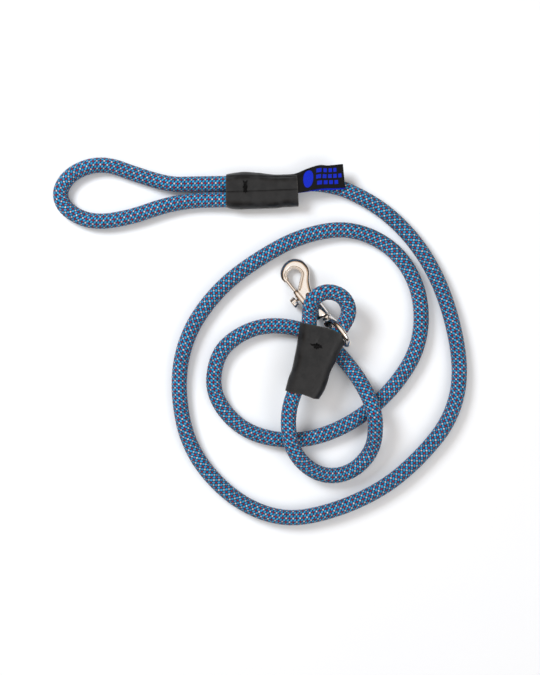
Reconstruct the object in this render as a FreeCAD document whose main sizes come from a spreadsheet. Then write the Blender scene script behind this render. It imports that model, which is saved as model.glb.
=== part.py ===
import FreeCAD, Part
import math
import os

# A dog leash made from a length of climbing rope.
# The rope is folded back on itself at both ends.  A rubber sleeve and a stitch
# hold each fold, so that one end is a hand loop and the other carries a bolt snap
# on a swivel eye.  The leash lies on a table as a loose spiral.
#
# Frame: millimetres, +Z up.  The origin is the middle of the handle sleeve's
# flat underside, +X runs along that sleeve, from the hand loop to the rope.

Vec = FreeCAD.Vector
doc = FreeCAD.newDocument("RopeLeash")

# ---------------------------------------------------------------- sizes
SIZES = {
    "RopeDiameter": 10.5,
    "SheathWall": 1.1,
    "CoreGap": 0.05,
    "EndSealThickness": 0.8,
    "SleeveWall": 1.2,
    "HandleSleeveHeight": 14.1,
    "HandleSleeveRound": 6.2,
    "SnapSleeveHeight": 13.5,
    "SnapSleeveRound": 6.0,
    "CavityRound": 5.2,
    "SnapSleeveBase": 10.65,
    "StitchWidth": 0.9,
    "StitchProud": 0.6,
    "StitchDepth": 1.0,
    "LabelThickness": 0.6,
    "LabelHeight": 12.1,
    "EyeRadius": 10.4,
    "EyeWireRadius": 1.4,
    "CollarRadius": 2.4,
    "FlangeRadius": 3.2,
    "StemRadius": 1.5,
    "RunningGap": 0.05,
    "HeadRadius": 2.3,
    "BodyThickness": 4.6,
    "BodyEdgeRound": 1.0,
    "NeckRadius": 2.6,
    "BarrelRadius": 4.2,
    "HousingRadius": 2.35,
    "BoltRadius": 1.25,
    "BoltOffset": 5.7,
    "BoltTravel": 6.0,
    "KnobRadius": 3.1,
    "KnobHeight": 3.6,
    "KnobPostRadius": 0.9,
    "SpringWire": 0.3,
    "PlugThickness": 1.2,
}
sheet = doc.addObject("Spreadsheet::Sheet", "Sizes")
for row, (alias, value) in enumerate(SIZES.items(), start=1):
    sheet.set(f"A{row}", alias)
    sheet.set(f"B{row}", str(value))
    sheet.setAlias(f"B{row}", alias)
doc.recompute()


def size(alias):
    return float(sheet.get(alias))


def bind(obj, prop, expression):
    """Tie a size of a feature to the sheet; a bare alias gets the sheet's name."""
    obj.setExpression(prop, expression.replace("$", "Sizes."))


ROPE_R = size("RopeDiameter") / 2
WALL = size("SleeveWall")

# ---------------------------------------------------------------- the rope's route
# Middle of the rope, one point at each turn, from the end hidden in the handle
# sleeve to the end hidden in the snap sleeve.
LAY = 5.3          # height of the rope's middle where it lies on the table
IN_HANDLE = 6.6    # inside the handle sleeve
IN_SNAP = 17.4     # inside the snap sleeve, which lies over the rope's last turn
OVER = 16.3        # where the rope crosses over itself

ROUTE = [
    # short leg in the handle sleeve, then round the hand loop
    (16.0, -5.2, IN_HANDLE), (-2.5, -5.2, IN_HANDLE), (-27.0, -5.3, IN_HANDLE),
    (-47.5, -5.7, 5.4), (-66.0, -9.0, LAY), (-90.0, -17.5, LAY),
    (-114.5, -21.0, LAY), (-133.0, -12.5, LAY), (-138.0, 0.5, LAY),
    (-128.0, 14.0, LAY), (-107.5, 20.0, LAY), (-83.0, 11.0, LAY),
    (-62.5, 5.0, LAY), (-46.0, 5.4, 5.4),
    # long leg through the handle sleeve and out beside the label
    (-27.0, 5.6, IN_HANDLE), (-4.5, 6.0, IN_HANDLE), (20.5, 5.8, IN_HANDLE),
    (41.5, 5.5, 5.8), (61.0, 0.5, LAY),
    # outer turn of the spiral
    (88.0, -16.0, LAY), (112.0, -44.0, LAY), (127.5, -79.5, LAY),
    (135.5, -122.0, LAY), (128.0, -154.0, LAY), (107.0, -180.0, LAY),
    (81.5, -201.5, LAY), (46.5, -217.0, LAY), (12.5, -222.5, LAY),
    (-22.0, -207.0, LAY), (-50.0, -174.0, LAY), (-58.0, -130.0, LAY),
    (-50.5, -94.5, LAY), (-29.5, -65.5, LAY), (-4.0, -46.0, LAY),
    (26.0, -29.5, LAY), (59.5, -23.5, LAY), (90.5, -38.0, LAY),
    # inner turn
    (108.0, -67.5, LAY), (107.5, -104.5, LAY), (87.0, -136.0, LAY),
    (57.0, -159.5, LAY), (23.0, -170.0, LAY), (-12.5, -163.0, LAY),
    (-34.0, -138.0, LAY), (-31.0, -110.5, LAY), (-16.5, -96.5, LAY),
    # under the snap sleeve
    (3.5, -89.5, LAY), (28.0, -92.5, LAY), (45.5, -102.5, LAY),
    (56.0, -113.8, LAY),
    # over the inner turn, round the bottom and over it again
    (66.5, -128.2, 12.2), (73.6, -142.5, 17.3), (76.6, -156.0, 16.9),
    (75.0, -175.0, 8.8), (60.0, -191.0, LAY), (38.5, -192.5, 7.5),
    (20.0, -176.0, OVER), (16.5, -150.0, 17.0),
    # up through the snap sleeve, round the small loop over the snap's shank,
    # down through the swivel eye and back into the sleeve
    (25.0, -126.5, IN_SNAP), (30.0, -104.5, IN_SNAP), (32.0, -85.0, 17.3),
    (32.0, -74.5, 22.6), (42.0, -67.0, 23.6), (54.5, -70.5, 21.4),
    (59.5, -82.0, 18.3), (51.0, -95.5, 17.2), (41.6, -110.2, IN_SNAP),
    (38.0, -123.5, IN_SNAP),
]
ROUTE = [Vec(*point) for point in ROUTE]
ARC_SHARE = 0.45


def route_path(points):
    """Straight runs joined by tangent arcs; returns the wire and the arcs' radii."""
    edges = []
    radii = []
    start = points[0]
    for before, corner, after in zip(points, points[1:], points[2:]):
        back = before - corner
        ahead = after - corner
        turn = math.pi - back.getAngle(ahead)
        reach = ARC_SHARE * min(back.Length, ahead.Length)
        radii.append(reach / math.tan(turn / 2))
        back.normalize()
        ahead.normalize()
        first = corner + back * reach
        last = corner + ahead * reach
        inward = back + ahead
        inward.normalize()
        to_middle = radii[-1] / math.cos(turn / 2) - radii[-1]
        middle = corner + inward * to_middle
        edges.append(Part.LineSegment(start, first).toShape())
        edges.append(Part.Arc(first, middle, last).toShape())
        start = last
    edges.append(Part.LineSegment(start, points[-1]).toShape())
    return Part.Wire(edges), radii


path, bend_radii = route_path(ROUTE)
path_start = (ROUTE[1] - ROUTE[0]).normalize()
path_end = (ROUTE[-1] - ROUTE[-2]).normalize()


def swept_rod(radius):
    """A round rod along the whole route."""
    ring = Part.Wire(Part.makeCircle(radius, ROUTE[0], path_start))
    return path.makePipeShell([ring], True, False)


def shape_feature(label, shape):
    """A sub-part whose shape is made in code from the sheet's sizes."""
    feature = doc.addObject("Part::Feature", label)
    feature.Label = label
    feature.Shape = shape
    feature.Placement = FreeCAD.Placement()
    return feature


def make_rope():
    core_radius = ROPE_R - size("SheathWall") - size("CoreGap")
    tube = swept_rod(ROPE_R).cut(swept_rod(ROPE_R - size("SheathWall")))
    sheath = shape_feature("rope_sheath", tube)
    core = shape_feature("rope_core", swept_rod(core_radius))
    seals = []
    for label, place, outward in (
        ("handle_end_seal", ROUTE[0], path_start * -1),
        ("snap_end_seal", ROUTE[-1], path_end),
    ):
        seal = doc.addObject("Part::Cylinder", label)
        seal.Label = label
        bind(seal, "Radius", "$RopeDiameter / 2")
        bind(seal, "Height", "$EndSealThickness")
        seal.Placement = FreeCAD.Placement(
            place, FreeCAD.Rotation(Vec(0, 0, 1), outward)
        )
        seals.append(seal)
    return [sheath, core] + seals


# ---------------------------------------------------------------- helpers for bodies
def new_body(label):
    body = doc.addObject("PartDesign::Body", label)
    body.Label = label
    return body


def origin_feature(body, role):
    """One of the body's own planes or axes."""
    for feature in body.Origin.OriginFeatures:
        if feature.Role == role:
            return feature
    raise ValueError(role)


def flat_sketch(body, name):
    """A sketch on the body's own XY plane."""
    sketch = body.newObject("Sketcher::SketchObject", name)
    sketch.AttachmentSupport = [(origin_feature(body, "XY_Plane"), "")]
    sketch.MapMode = "FlatFace"
    return sketch


def add_outline(sketch, pieces):
    """Lines (two points) and arcs (three points), each point an (x, y) pair."""
    for piece in pieces:
        corners = [Vec(x, y, 0) for x, y in piece]
        if len(corners) == 2:
            sketch.addGeometry(Part.LineSegment(*corners), False)
        else:
            sketch.addGeometry(Part.Arc(*corners), False)


def pad(body, sketch, name, length, midplane=False):
    feature = body.newObject("PartDesign::Pad", name)
    feature.Profile = sketch
    if midplane:
        feature.Midplane = True
    bind(feature, "Length", length)
    doc.recompute()
    return feature


def pocket_through(body, sketch, name):
    feature = body.newObject("PartDesign::Pocket", name)
    feature.Profile = sketch
    feature.Type = 1
    feature.Midplane = True
    doc.recompute()
    return feature


def edge_names(shape, wanted):
    """Names of the edges whose middle and direction pass the test."""
    names = []
    for number, edge in enumerate(shape.Edges, start=1):
        middle = edge.valueAt((edge.FirstParameter + edge.LastParameter) / 2)
        ends = edge.Vertexes[-1].Point - edge.Vertexes[0].Point
        if wanted(middle, ends):
            names.append(f"Edge{number}")
    return names


def fillet(body, base, name, edges, radius):
    feature = body.newObject("PartDesign::Fillet", name)
    feature.Base = (base, edges)
    bind(feature, "Radius", radius)
    doc.recompute()
    return feature


# ---------------------------------------------------------------- rubber sleeves
def side_arcs(points):
    """A side of a sleeve as arcs through its points, taken three at a time."""
    return [points[i:i + 3] for i in range(0, len(points) - 2, 2)]


def sleeve_block(label, upper, lower, height, rounding, inset=0.0, longer=0.0):
    """A flat-topped block with rounded long sides; upper and lower are its sides."""
    top = [(x, y - inset) for x, y in upper]
    bottom = [(x, y + inset) for x, y in lower]
    if longer:
        for side in (top, bottom):
            side[0] = (side[0][0] - longer, side[0][1])
            side[-1] = (side[-1][0] + longer, side[-1][1])
    body = new_body(label)
    sketch = flat_sketch(body, label + "_outline")
    outline = side_arcs(top) + [(top[-1], bottom[-1])]
    outline += side_arcs(bottom[::-1]) + [(bottom[0], top[0])]
    add_outline(sketch, outline)
    block = pad(body, sketch, label + "_pad", height)
    tall = block.Shape.BoundBox.ZMax

    def along_a_side(middle, ends):
        flat = middle.z < 0.01 or middle.z > tall - 0.01
        return flat and abs(ends.x) > abs(ends.y)

    long_edges = edge_names(block.Shape, along_a_side)
    fillet(body, block, label + "_rounding", long_edges, rounding)
    return body


def make_sleeve(label, upper, lower, height, rounding, place):
    """A rubber tube pulled over two legs of the rope."""
    outside = sleeve_block(label + "_outside", upper, lower, "$" + height, "$" + rounding)
    inside = sleeve_block(
        label + "_inside", upper, lower,
        f"${height} - 2 * $SleeveWall", "$CavityRound", inset=WALL, longer=WALL,
    )
    inside.Placement = FreeCAD.Placement(Vec(0, 0, WALL), FreeCAD.Rotation())
    sleeve = doc.addObject("Part::Cut", label)
    sleeve.Label = label
    sleeve.Base = outside
    sleeve.Tool = inside
    sleeve.Placement = place
    return sleeve


HANDLE_UPPER = [(-24.0, 12.5), (-17.0, 13.2), (-9.0, 13.3), (8.0, 12.7), (24.5, 12.7)]
HANDLE_LOWER = [(-24.0, -12.1), (-16.0, -12.3), (-7.0, -12.3), (9.0, -12.2), (24.5, -11.2)]

SNAP_UPPER = [(0.0, 12.6), (9.5, 12.4), (19.0, 12.5), (33.0, 13.6), (47.4, 16.2)]
SNAP_LOWER = [(0.0, -12.0), (9.0, -13.5), (18.5, -13.9), (32.0, -15.3), (47.4, -18.2)]
SNAP_SLEEVE_TURN = 73.7
SNAP_SLEEVE_PLACE = FreeCAD.Placement(
    Vec(27.1, -137.1, size("SnapSleeveBase")),
    FreeCAD.Rotation(Vec(0, 0, 1), SNAP_SLEEVE_TURN),
)
# the swivel eye stands across the sleeve's far corner, so that corner is cut back
CORNER_CUT = [(50.0, 2.0), (40.5, -19.5), (53.0, -24.0), (60.0, 2.0)]


def corner_block():
    body = new_body("corner_block")
    sketch = flat_sketch(body, "corner_outline")
    ring = CORNER_CUT + CORNER_CUT[:1]
    add_outline(sketch, list(zip(ring, ring[1:])))
    pad(body, sketch, "corner_pad", "$SnapSleeveHeight * 2")
    body.Placement = SNAP_SLEEVE_PLACE
    return body


def make_sleeves():
    handle = make_sleeve(
        "handle_sleeve", HANDLE_UPPER, HANDLE_LOWER,
        "HandleSleeveHeight", "HandleSleeveRound", FreeCAD.Placement(),
    )
    whole = make_sleeve(
        "snap_sleeve_whole", SNAP_UPPER, SNAP_LOWER,
        "SnapSleeveHeight", "SnapSleeveRound", SNAP_SLEEVE_PLACE,
    )
    snap = doc.addObject("Part::Cut", "snap_sleeve")
    snap.Label = "snap_sleeve"
    snap.Base = whole
    snap.Tool = corner_block()
    return [handle, snap]


# ---------------------------------------------------------------- thread stitches
def make_stitch(label, length, centre, turn, surface):
    """A thick thread laid across a sleeve, with its two ends sunk in the rubber."""
    bar = doc.addObject("Part::Box", label + "_bar")
    bind(bar, "Width", "$StitchWidth")
    bind(bar, "Height", "$StitchProud")
    bar.Length = length
    parts = [bar]
    half_width = size("StitchWidth") / 2
    bar.Placement = FreeCAD.Placement(Vec(-length / 2, -half_width, 0), FreeCAD.Rotation())
    for side in (-1, 1):
        leg = doc.addObject("Part::Cylinder", f"{label}_leg{side + 2}")
        bind(leg, "Radius", "$StitchWidth / 2")
        bind(leg, "Height", "$StitchDepth + $StitchProud")
        reach = side * (length / 2 - half_width)
        leg.Placement = FreeCAD.Placement(
            Vec(reach, 0, -size("StitchDepth")), FreeCAD.Rotation()
        )
        parts.append(leg)
    stitch = doc.addObject("Part::MultiFuse", label)
    stitch.Label = label
    stitch.Shapes = parts
    stitch.Placement = FreeCAD.Placement(
        Vec(centre[0], centre[1], surface), FreeCAD.Rotation(Vec(0, 0, 1), turn)
    )
    return stitch


def make_stitches():
    handle_top = size("HandleSleeveHeight")
    snap_top = size("SnapSleeveBase") + size("SnapSleeveHeight")
    return [
        make_stitch("handle_stitch", 10.0, (-11.2, 3.0), 90, handle_top),
        make_stitch("snap_stitch", 9.5, (36.4, -104.3), -8, snap_top),
    ]


# ---------------------------------------------------------------- woven label
LABEL_OUTLINE = [
    ((13.0, 5.0), (24.0, 5.0)), ((24.0, 5.0), (25.2, 12.0)),
    ((25.2, 12.0), (39.5, 17.2), (54.0, 17.9)),
    ((54.0, 17.9), (55.6, 1.4)),
    ((55.6, 1.4), (40.0, 0.9), (25.2, -1.2)),
    ((25.2, -1.2), (24.0, -3.0)), ((24.0, -3.0), (13.0, -3.0)),
    ((13.0, -3.0), (13.0, 5.0)),
]


def make_label():
    """A ribbon folded in two, its tail held between the rope and the rubber."""
    body = new_body("label")
    sketch = flat_sketch(body, "label_outline")
    add_outline(sketch, LABEL_OUTLINE)
    pad(body, sketch, "label_pad", "$LabelThickness")
    body.Placement = FreeCAD.Placement(Vec(0, 0, size("LabelHeight")), FreeCAD.Rotation())
    return body


# ---------------------------------------------------------------- the bolt snap
# The snap has its own frame: the origin is the middle of the swivel eye, x runs
# along the swivel's axis to the bow, y is the side that the bolt is on.
EYE_CENTRE = Vec(51.7, -95.1, 13.9)
SNAP_HEADING = 128.3
SNAP_DROOP = 11.0
SNAP_FRAME = FreeCAD.Placement(
    EYE_CENTRE,
    FreeCAD.Rotation(Vec(0, 0, 1), SNAP_HEADING).multiply(
        FreeCAD.Rotation(Vec(0, 1, 0), SNAP_DROOP)
    ),
)
ALONG = FreeCAD.Rotation(Vec(0, 1, 0), 90)   # turns a cylinder's axis to x

COLLAR_START = 11.0
COLLAR_END = 14.4
FLANGE_START = 12.6
FLANGE_END = 13.8
STEM_END = 20.6
HEAD_START = 19.7
NECK_START = 14.7
BARREL_START = 19.0
BARREL_END = 25.0
CHAMBER_END = 21.3

BOLT_TIP = 50.4
BOLT_TAIL = 33.2
NOSE = 0.5
BORE_START = 22.0
GATE_START = 40.6
BOW_TIP = 49.7
KNOB_AT = 34.9
KNOB_BASE = 9.0
BOW_CENTRE = (50.0, -1.2)
BOW_RADIUS = 9.3
HOLE_CENTRE = (49.4, 0.2)
HOLE_RADIUS = 5.0
GATE_BASE = 4.2          # the gate gap starts this far to the bolt's side
GATE_DEPTH = 6.0
TIP_LENGTH = 3.0         # of the round end of the bow that meets the bolt
SLOT_DEPTH = 4.0         # deep enough to break out of the bolt's housing
SLIT_GAP = 0.3           # round the knob's post, and before and behind the head
KNOB_SEAT = 0.5          # how far the knob's post stands in its disc
POST_SEAT = 0.25         # how far the knob's post stands in the bolt
SPRING_TURNS = 11


def cylinder(label, radius, start, end, y=0.0):
    """A cylinder along the snap's x axis; radius is an expression."""
    rod = doc.addObject("Part::Cylinder", label)
    bind(rod, "Radius", radius)
    rod.Height = end - start
    rod.Placement = FreeCAD.Placement(Vec(start, y, 0), ALONG)
    return rod


def joined(label, parts):
    fuse = doc.addObject("Part::MultiFuse", label)
    fuse.Label = label
    fuse.Shapes = parts
    fuse.Refine = True
    fuse.Placement = SNAP_FRAME
    return fuse


def make_swivel_eye():
    ring = doc.addObject("Part::Torus", "eye_ring")
    bind(ring, "Radius1", "$EyeRadius")
    bind(ring, "Radius2", "$EyeWireRadius")
    ring.Placement = FreeCAD.Placement(Vec(), FreeCAD.Rotation(Vec(1, 0, 0), 90))
    collar = cylinder("eye_collar", "$CollarRadius", COLLAR_START, COLLAR_END)
    flange = cylinder("eye_flange", "$FlangeRadius", FLANGE_START, FLANGE_END)
    stem = cylinder("eye_stem", "$StemRadius", COLLAR_END - 1, STEM_END)
    eye = joined("swivel_eye", [ring, collar, flange, stem])
    disc = cylinder("head_disc", "$HeadRadius", HEAD_START, STEM_END)
    hole = cylinder("head_hole", "$StemRadius", HEAD_START - 1, STEM_END + 1)
    head = doc.addObject("Part::Cut", "swivel_head")
    head.Label = "swivel_head"
    head.Base = disc
    head.Tool = hole
    head.Placement = SNAP_FRAME
    return [eye, head]


def bow_point(degrees, centre=BOW_CENTRE, radius=BOW_RADIUS):
    angle = math.radians(degrees)
    return (centre[0] + radius * math.cos(angle), centre[1] + radius * math.sin(angle))


def body_outline():
    """The flat cast body: shoulder, bow and the side that the bolt slides in."""
    shoulder = (BARREL_END - 2, -3.2)
    waist = (33.5, -3.4)
    bow_start = bow_point(-130)
    bow_end = bow_point(105)
    heel = (BARREL_END - 2, 7.7)
    return [
        (shoulder, waist),
        (waist, (39.0, -5.4), bow_start),
        (bow_start, bow_point(0), bow_end),
        (bow_end, heel),
        (heel, shoulder),
    ]


def hole_outline():
    """The opening inside the bow: round at the bow, closing to a corner."""
    corner = (39.8, 4.3)
    low = bow_point(-118, HOLE_CENTRE, HOLE_RADIUS)
    high = (HOLE_CENTRE[0], 4.3)
    start = bow_point(55, HOLE_CENTRE, HOLE_RADIUS)
    return [
        (corner, low),
        (low, bow_point(-20, HOLE_CENTRE, HOLE_RADIUS), start),
        (start, high),
        (high, corner),
    ]


def make_snap_body():
    body = new_body("snap_body")
    outline = flat_sketch(body, "body_outline")
    add_outline(outline, body_outline())
    pad(body, outline, "plate", "$BodyThickness", midplane=True)

    hole = flat_sketch(body, "hole_outline")
    add_outline(hole, hole_outline())
    opened = pocket_through(body, hole, "bow_opening")

    half = size("BodyThickness") / 2

    def bow_edge(middle, ends):
        return abs(abs(middle.z) - half) < 0.01 and middle.x > BARREL_END + 1

    edges = edge_names(opened.Shape, bow_edge)
    fillet(body, opened, "cast_edges", edges, "$BodyEdgeRound")

    profile = flat_sketch(body, "neck_profile")
    neck = size("NeckRadius")
    barrel = size("BarrelRadius")
    add_outline(profile, [
        ((NECK_START, 0), (NECK_START, neck)),
        ((NECK_START, neck), (BARREL_START, barrel)),
        ((BARREL_START, barrel), (BARREL_END + 4, barrel)),
        ((BARREL_END + 4, barrel), (BARREL_END + 9, 0)),
        ((BARREL_END + 9, 0), (NECK_START, 0)),
    ])
    turned = body.newObject("PartDesign::Revolution", "neck_and_barrel")
    turned.Profile = profile
    turned.ReferenceAxis = (origin_feature(body, "X_Axis"), [""])
    turned.Angle = 360
    doc.recompute()

    housing = body.newObject("PartDesign::AdditiveCylinder", "bolt_housing")
    bind(housing, "Radius", "$HousingRadius")
    housing.Height = GATE_START - BORE_START
    set_along(housing, BORE_START, size("BoltOffset"))
    tip = body.newObject("PartDesign::AdditiveCylinder", "bow_tip")
    bind(tip, "Radius", "$HousingRadius - 0.25")
    tip.Height = TIP_LENGTH
    set_along(tip, BOW_TIP, size("BoltOffset"))
    doc.recompute()

    gate = body.newObject("PartDesign::SubtractiveBox", "gate_gap")
    gate.Length = BOW_TIP - GATE_START
    gate.Width = GATE_DEPTH
    bind(gate, "Height", "$BodyThickness + 2")
    gate.Placement = FreeCAD.Placement(
        Vec(GATE_START, GATE_BASE, -half - 1), FreeCAD.Rotation()
    )
    bore = body.newObject("PartDesign::SubtractiveCylinder", "bolt_bore")
    bind(bore, "Radius", "$BoltRadius + $RunningGap")
    bore.Height = BOLT_TIP + SLIT_GAP - BORE_START + 1
    set_along(bore, BORE_START - 1, size("BoltOffset"))
    stem_bore = body.newObject("PartDesign::SubtractiveCylinder", "stem_bore")
    bind(stem_bore, "Radius", "$StemRadius + $RunningGap")
    stem_bore.Height = CHAMBER_END - NECK_START + 1
    set_along(stem_bore, NECK_START - 1, 0)
    chamber = body.newObject("PartDesign::SubtractiveCylinder", "head_chamber")
    bind(chamber, "Radius", "$HeadRadius + $RunningGap * 2")
    chamber.Height = CHAMBER_END - HEAD_START + SLIT_GAP
    set_along(chamber, HEAD_START - SLIT_GAP, 0)
    slot = body.newObject("PartDesign::SubtractiveBox", "knob_slot")
    side = size("KnobPostRadius") + SLIT_GAP
    slot.Length = size("BoltTravel") + 2 * side
    slot.Width = SLOT_DEPTH
    slot.Height = 2 * side
    slot.Placement = FreeCAD.Placement(
        Vec(KNOB_AT - size("BoltTravel") - side, size("BoltOffset"), -side),
        FreeCAD.Rotation(),
    )
    doc.recompute()
    body.Placement = SNAP_FRAME
    return body


def set_along(feature, start, y):
    feature.Placement = FreeCAD.Placement(Vec(start, y, 0), ALONG)


def make_bolt():
    """The sliding bolt: a rod with a slightly tapered nose."""
    y = size("BoltOffset")
    rod = cylinder("bolt_rod", "$BoltRadius", BOLT_TAIL, BOLT_TIP - NOSE, y)
    nose = doc.addObject("Part::Cone", "bolt_nose")
    bind(nose, "Radius1", "$BoltRadius")
    bind(nose, "Radius2", "$BoltRadius * 0.7")
    nose.Height = NOSE
    nose.Placement = FreeCAD.Placement(Vec(BOLT_TIP - NOSE, y, 0), ALONG)
    return joined("bolt", [rod, nose])


def make_knob():
    """The thumb knob: a ribbed disc on a post that stands on the bolt."""
    post_bottom = size("BoltOffset") + size("BoltRadius") - POST_SEAT
    post = doc.addObject("Part::Cylinder", "knob_post")
    bind(post, "Radius", "$KnobPostRadius")
    post.Height = KNOB_BASE - post_bottom + KNOB_SEAT
    upright = FreeCAD.Rotation(Vec(1, 0, 0), -90)
    post.Placement = FreeCAD.Placement(Vec(KNOB_AT, post_bottom, 0), upright)
    disc = doc.addObject("Part::Cylinder", "knob_disc")
    bind(disc, "Radius", "$KnobRadius")
    bind(disc, "Height", "$KnobHeight")
    disc.Placement = FreeCAD.Placement(Vec(KNOB_AT, KNOB_BASE, 0), upright)
    whole = doc.addObject("Part::MultiFuse", "knob_whole")
    whole.Shapes = [post, disc]
    rod = cylinder("knob_seat", "$BoltRadius", BOLT_TAIL, BOLT_TIP, size("BoltOffset"))
    knob = doc.addObject("Part::Cut", "thumb_knob")
    knob.Label = "thumb_knob"
    knob.Base = whole
    knob.Tool = rod
    knob.Placement = SNAP_FRAME
    return knob


def make_spring():
    """A coil spring behind the bolt, one round wire along a helix."""
    wire = size("SpringWire")
    radius = size("BoltRadius") - wire
    start = BORE_START + size("PlugThickness") + wire
    length = BOLT_TAIL - wire - start
    helix = Part.makeHelix(length / SPRING_TURNS, length, radius)
    section = Part.Wire(Part.makeCircle(wire / 2, Vec(radius, 0, 0), Vec(0, 1, 0)))
    coil = Part.Wire(helix).makePipeShell([section], True, True)
    coil.Placement = FreeCAD.Placement(Vec(start, size("BoltOffset"), 0), ALONG)
    spring = doc.addObject("Part::Feature", "bolt_spring")
    spring.Label = "bolt_spring"
    spring.Shape = Part.Compound([coil]).Solids[0]
    spring.Placement = SNAP_FRAME.multiply(coil.Placement)
    return spring


def make_plug():
    """The plug that closes the end of the bolt's bore behind the spring."""
    plug = doc.addObject("Part::Cylinder", "spring_plug")
    plug.Label = "spring_plug"
    bind(plug, "Radius", "$BoltRadius")
    bind(plug, "Height", "$PlugThickness")
    seat = FreeCAD.Placement(Vec(BORE_START, size("BoltOffset"), 0), ALONG)
    plug.Placement = SNAP_FRAME.multiply(seat)
    return plug


# ---------------------------------------------------------------- build and write
subparts = make_rope()
subparts += make_sleeves()
subparts += make_stitches()
subparts.append(make_label())
subparts += make_swivel_eye()
subparts.append(make_snap_body())
subparts.append(make_bolt())
subparts.append(make_knob())
subparts.append(make_spring())
subparts.append(make_plug())
doc.recompute()

for feature in doc.Objects:
    failed = {"Invalid", "Error"} & set(feature.State)
    if failed:
        raise RuntimeError(f"{feature.Label}: {feature.State}")
for part in subparts:
    if part.Shape.isNull() or not part.Shape.isValid():
        raise RuntimeError(f"{part.Label}: bad shape")

full = math.pi * ROPE_R ** 2 * path.Length
print("rope length", round(path.Length, 1), "mm, bend radii",
      [round(radius, 1) for radius in bend_radii])
print("rod volume over section times length",
      round((subparts[0].Shape.Volume + math.pi * (ROPE_R - size("SheathWall")) ** 2
             * path.Length) / full, 4))

os.makedirs("parts", exist_ok=True)
for part in subparts:
    part.Shape.exportStep(f"parts/{part.Label}.step")
    box = part.Shape.optimalBoundingBox(False, False)
    print(part.Label, len(part.Shape.Solids), "solids", round(part.Shape.Volume, 1),
          "z", round(box.ZMin, 2), round(box.ZMax, 2))
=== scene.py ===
# %% [markdown]
# # A dog leash made from climbing rope
# The real leash is one length of braided rope, folded back at both ends.  Each fold
# is held in a tube of black rubber and tacked with thread.  One fold is the hand
# loop, the other carries a nickel bolt snap on a swivel eye, and a small woven label
# hangs out of the hand loop's rubber.
# The CAD model is loaded as a fixed frame.  Everything here is in metres in the same
# frame, so a piece goes where the CAD says, and it moves with the CAD's bodies.

# %% Load the frame
import math

import bpy
import numpy as np
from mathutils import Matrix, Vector
from mathutils.bvhtree import BVHTree


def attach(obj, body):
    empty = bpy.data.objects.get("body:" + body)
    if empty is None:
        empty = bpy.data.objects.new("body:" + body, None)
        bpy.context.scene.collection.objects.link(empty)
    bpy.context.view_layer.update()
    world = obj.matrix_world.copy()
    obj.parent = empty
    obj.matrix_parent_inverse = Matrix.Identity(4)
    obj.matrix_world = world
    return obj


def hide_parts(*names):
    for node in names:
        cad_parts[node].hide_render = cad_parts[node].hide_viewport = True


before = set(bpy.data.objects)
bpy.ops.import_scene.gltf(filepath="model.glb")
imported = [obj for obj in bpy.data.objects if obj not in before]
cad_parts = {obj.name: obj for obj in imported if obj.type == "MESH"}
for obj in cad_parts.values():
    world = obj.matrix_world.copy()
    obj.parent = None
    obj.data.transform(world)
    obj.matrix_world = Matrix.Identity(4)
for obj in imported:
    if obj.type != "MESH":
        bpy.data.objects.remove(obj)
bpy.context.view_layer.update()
MM = 0.001
rng = np.random.default_rng(7)

# %% [markdown]
# ## The camera
# The leash lies flat, and it is looked at from straight above.  A long lens at about
# a metre keeps the perspective gentle.  The longer side of the view is the upright
# one, so the sensor's width spans the view's height.

# %% Camera
VIEW_MIDDLE = (5.4, -98.5)      # mm, the point under the lens
VIEW_HEIGHT = 457.0             # mm of table that the view's height shows
LENS = 85.0
SENSOR = 36.0
ROPE_LEVEL = 5.3                # mm above the table

camera_data = bpy.data.cameras.new("camera")
camera_data.lens = LENS
camera_data.sensor_width = SENSOR
camera = bpy.data.objects.new("camera", camera_data)
bpy.context.scene.collection.objects.link(camera)
camera_height = ROPE_LEVEL + VIEW_HEIGHT * LENS / SENSOR
camera.location = [v * MM for v in (*VIEW_MIDDLE, camera_height)]
bpy.context.scene.camera = camera
print("camera height", round(camera_height), "mm")

# %% [markdown]
# ## The rope's line
# A rope bends in one smooth curve, so its middle is a NURBS curve through the bends.
# The points are those of the CAD's route.  The order is set after the points are
# added, because a curve whose order comes first stays a chain of straight runs.

# %% Rope route
LAY = 5.3           # middle of the rope where it lies on the table
IN_HANDLE = 6.6     # in the handle sleeve
IN_SNAP = 17.4      # in the snap sleeve
OVER = 16.3         # where the rope crosses over itself

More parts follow.
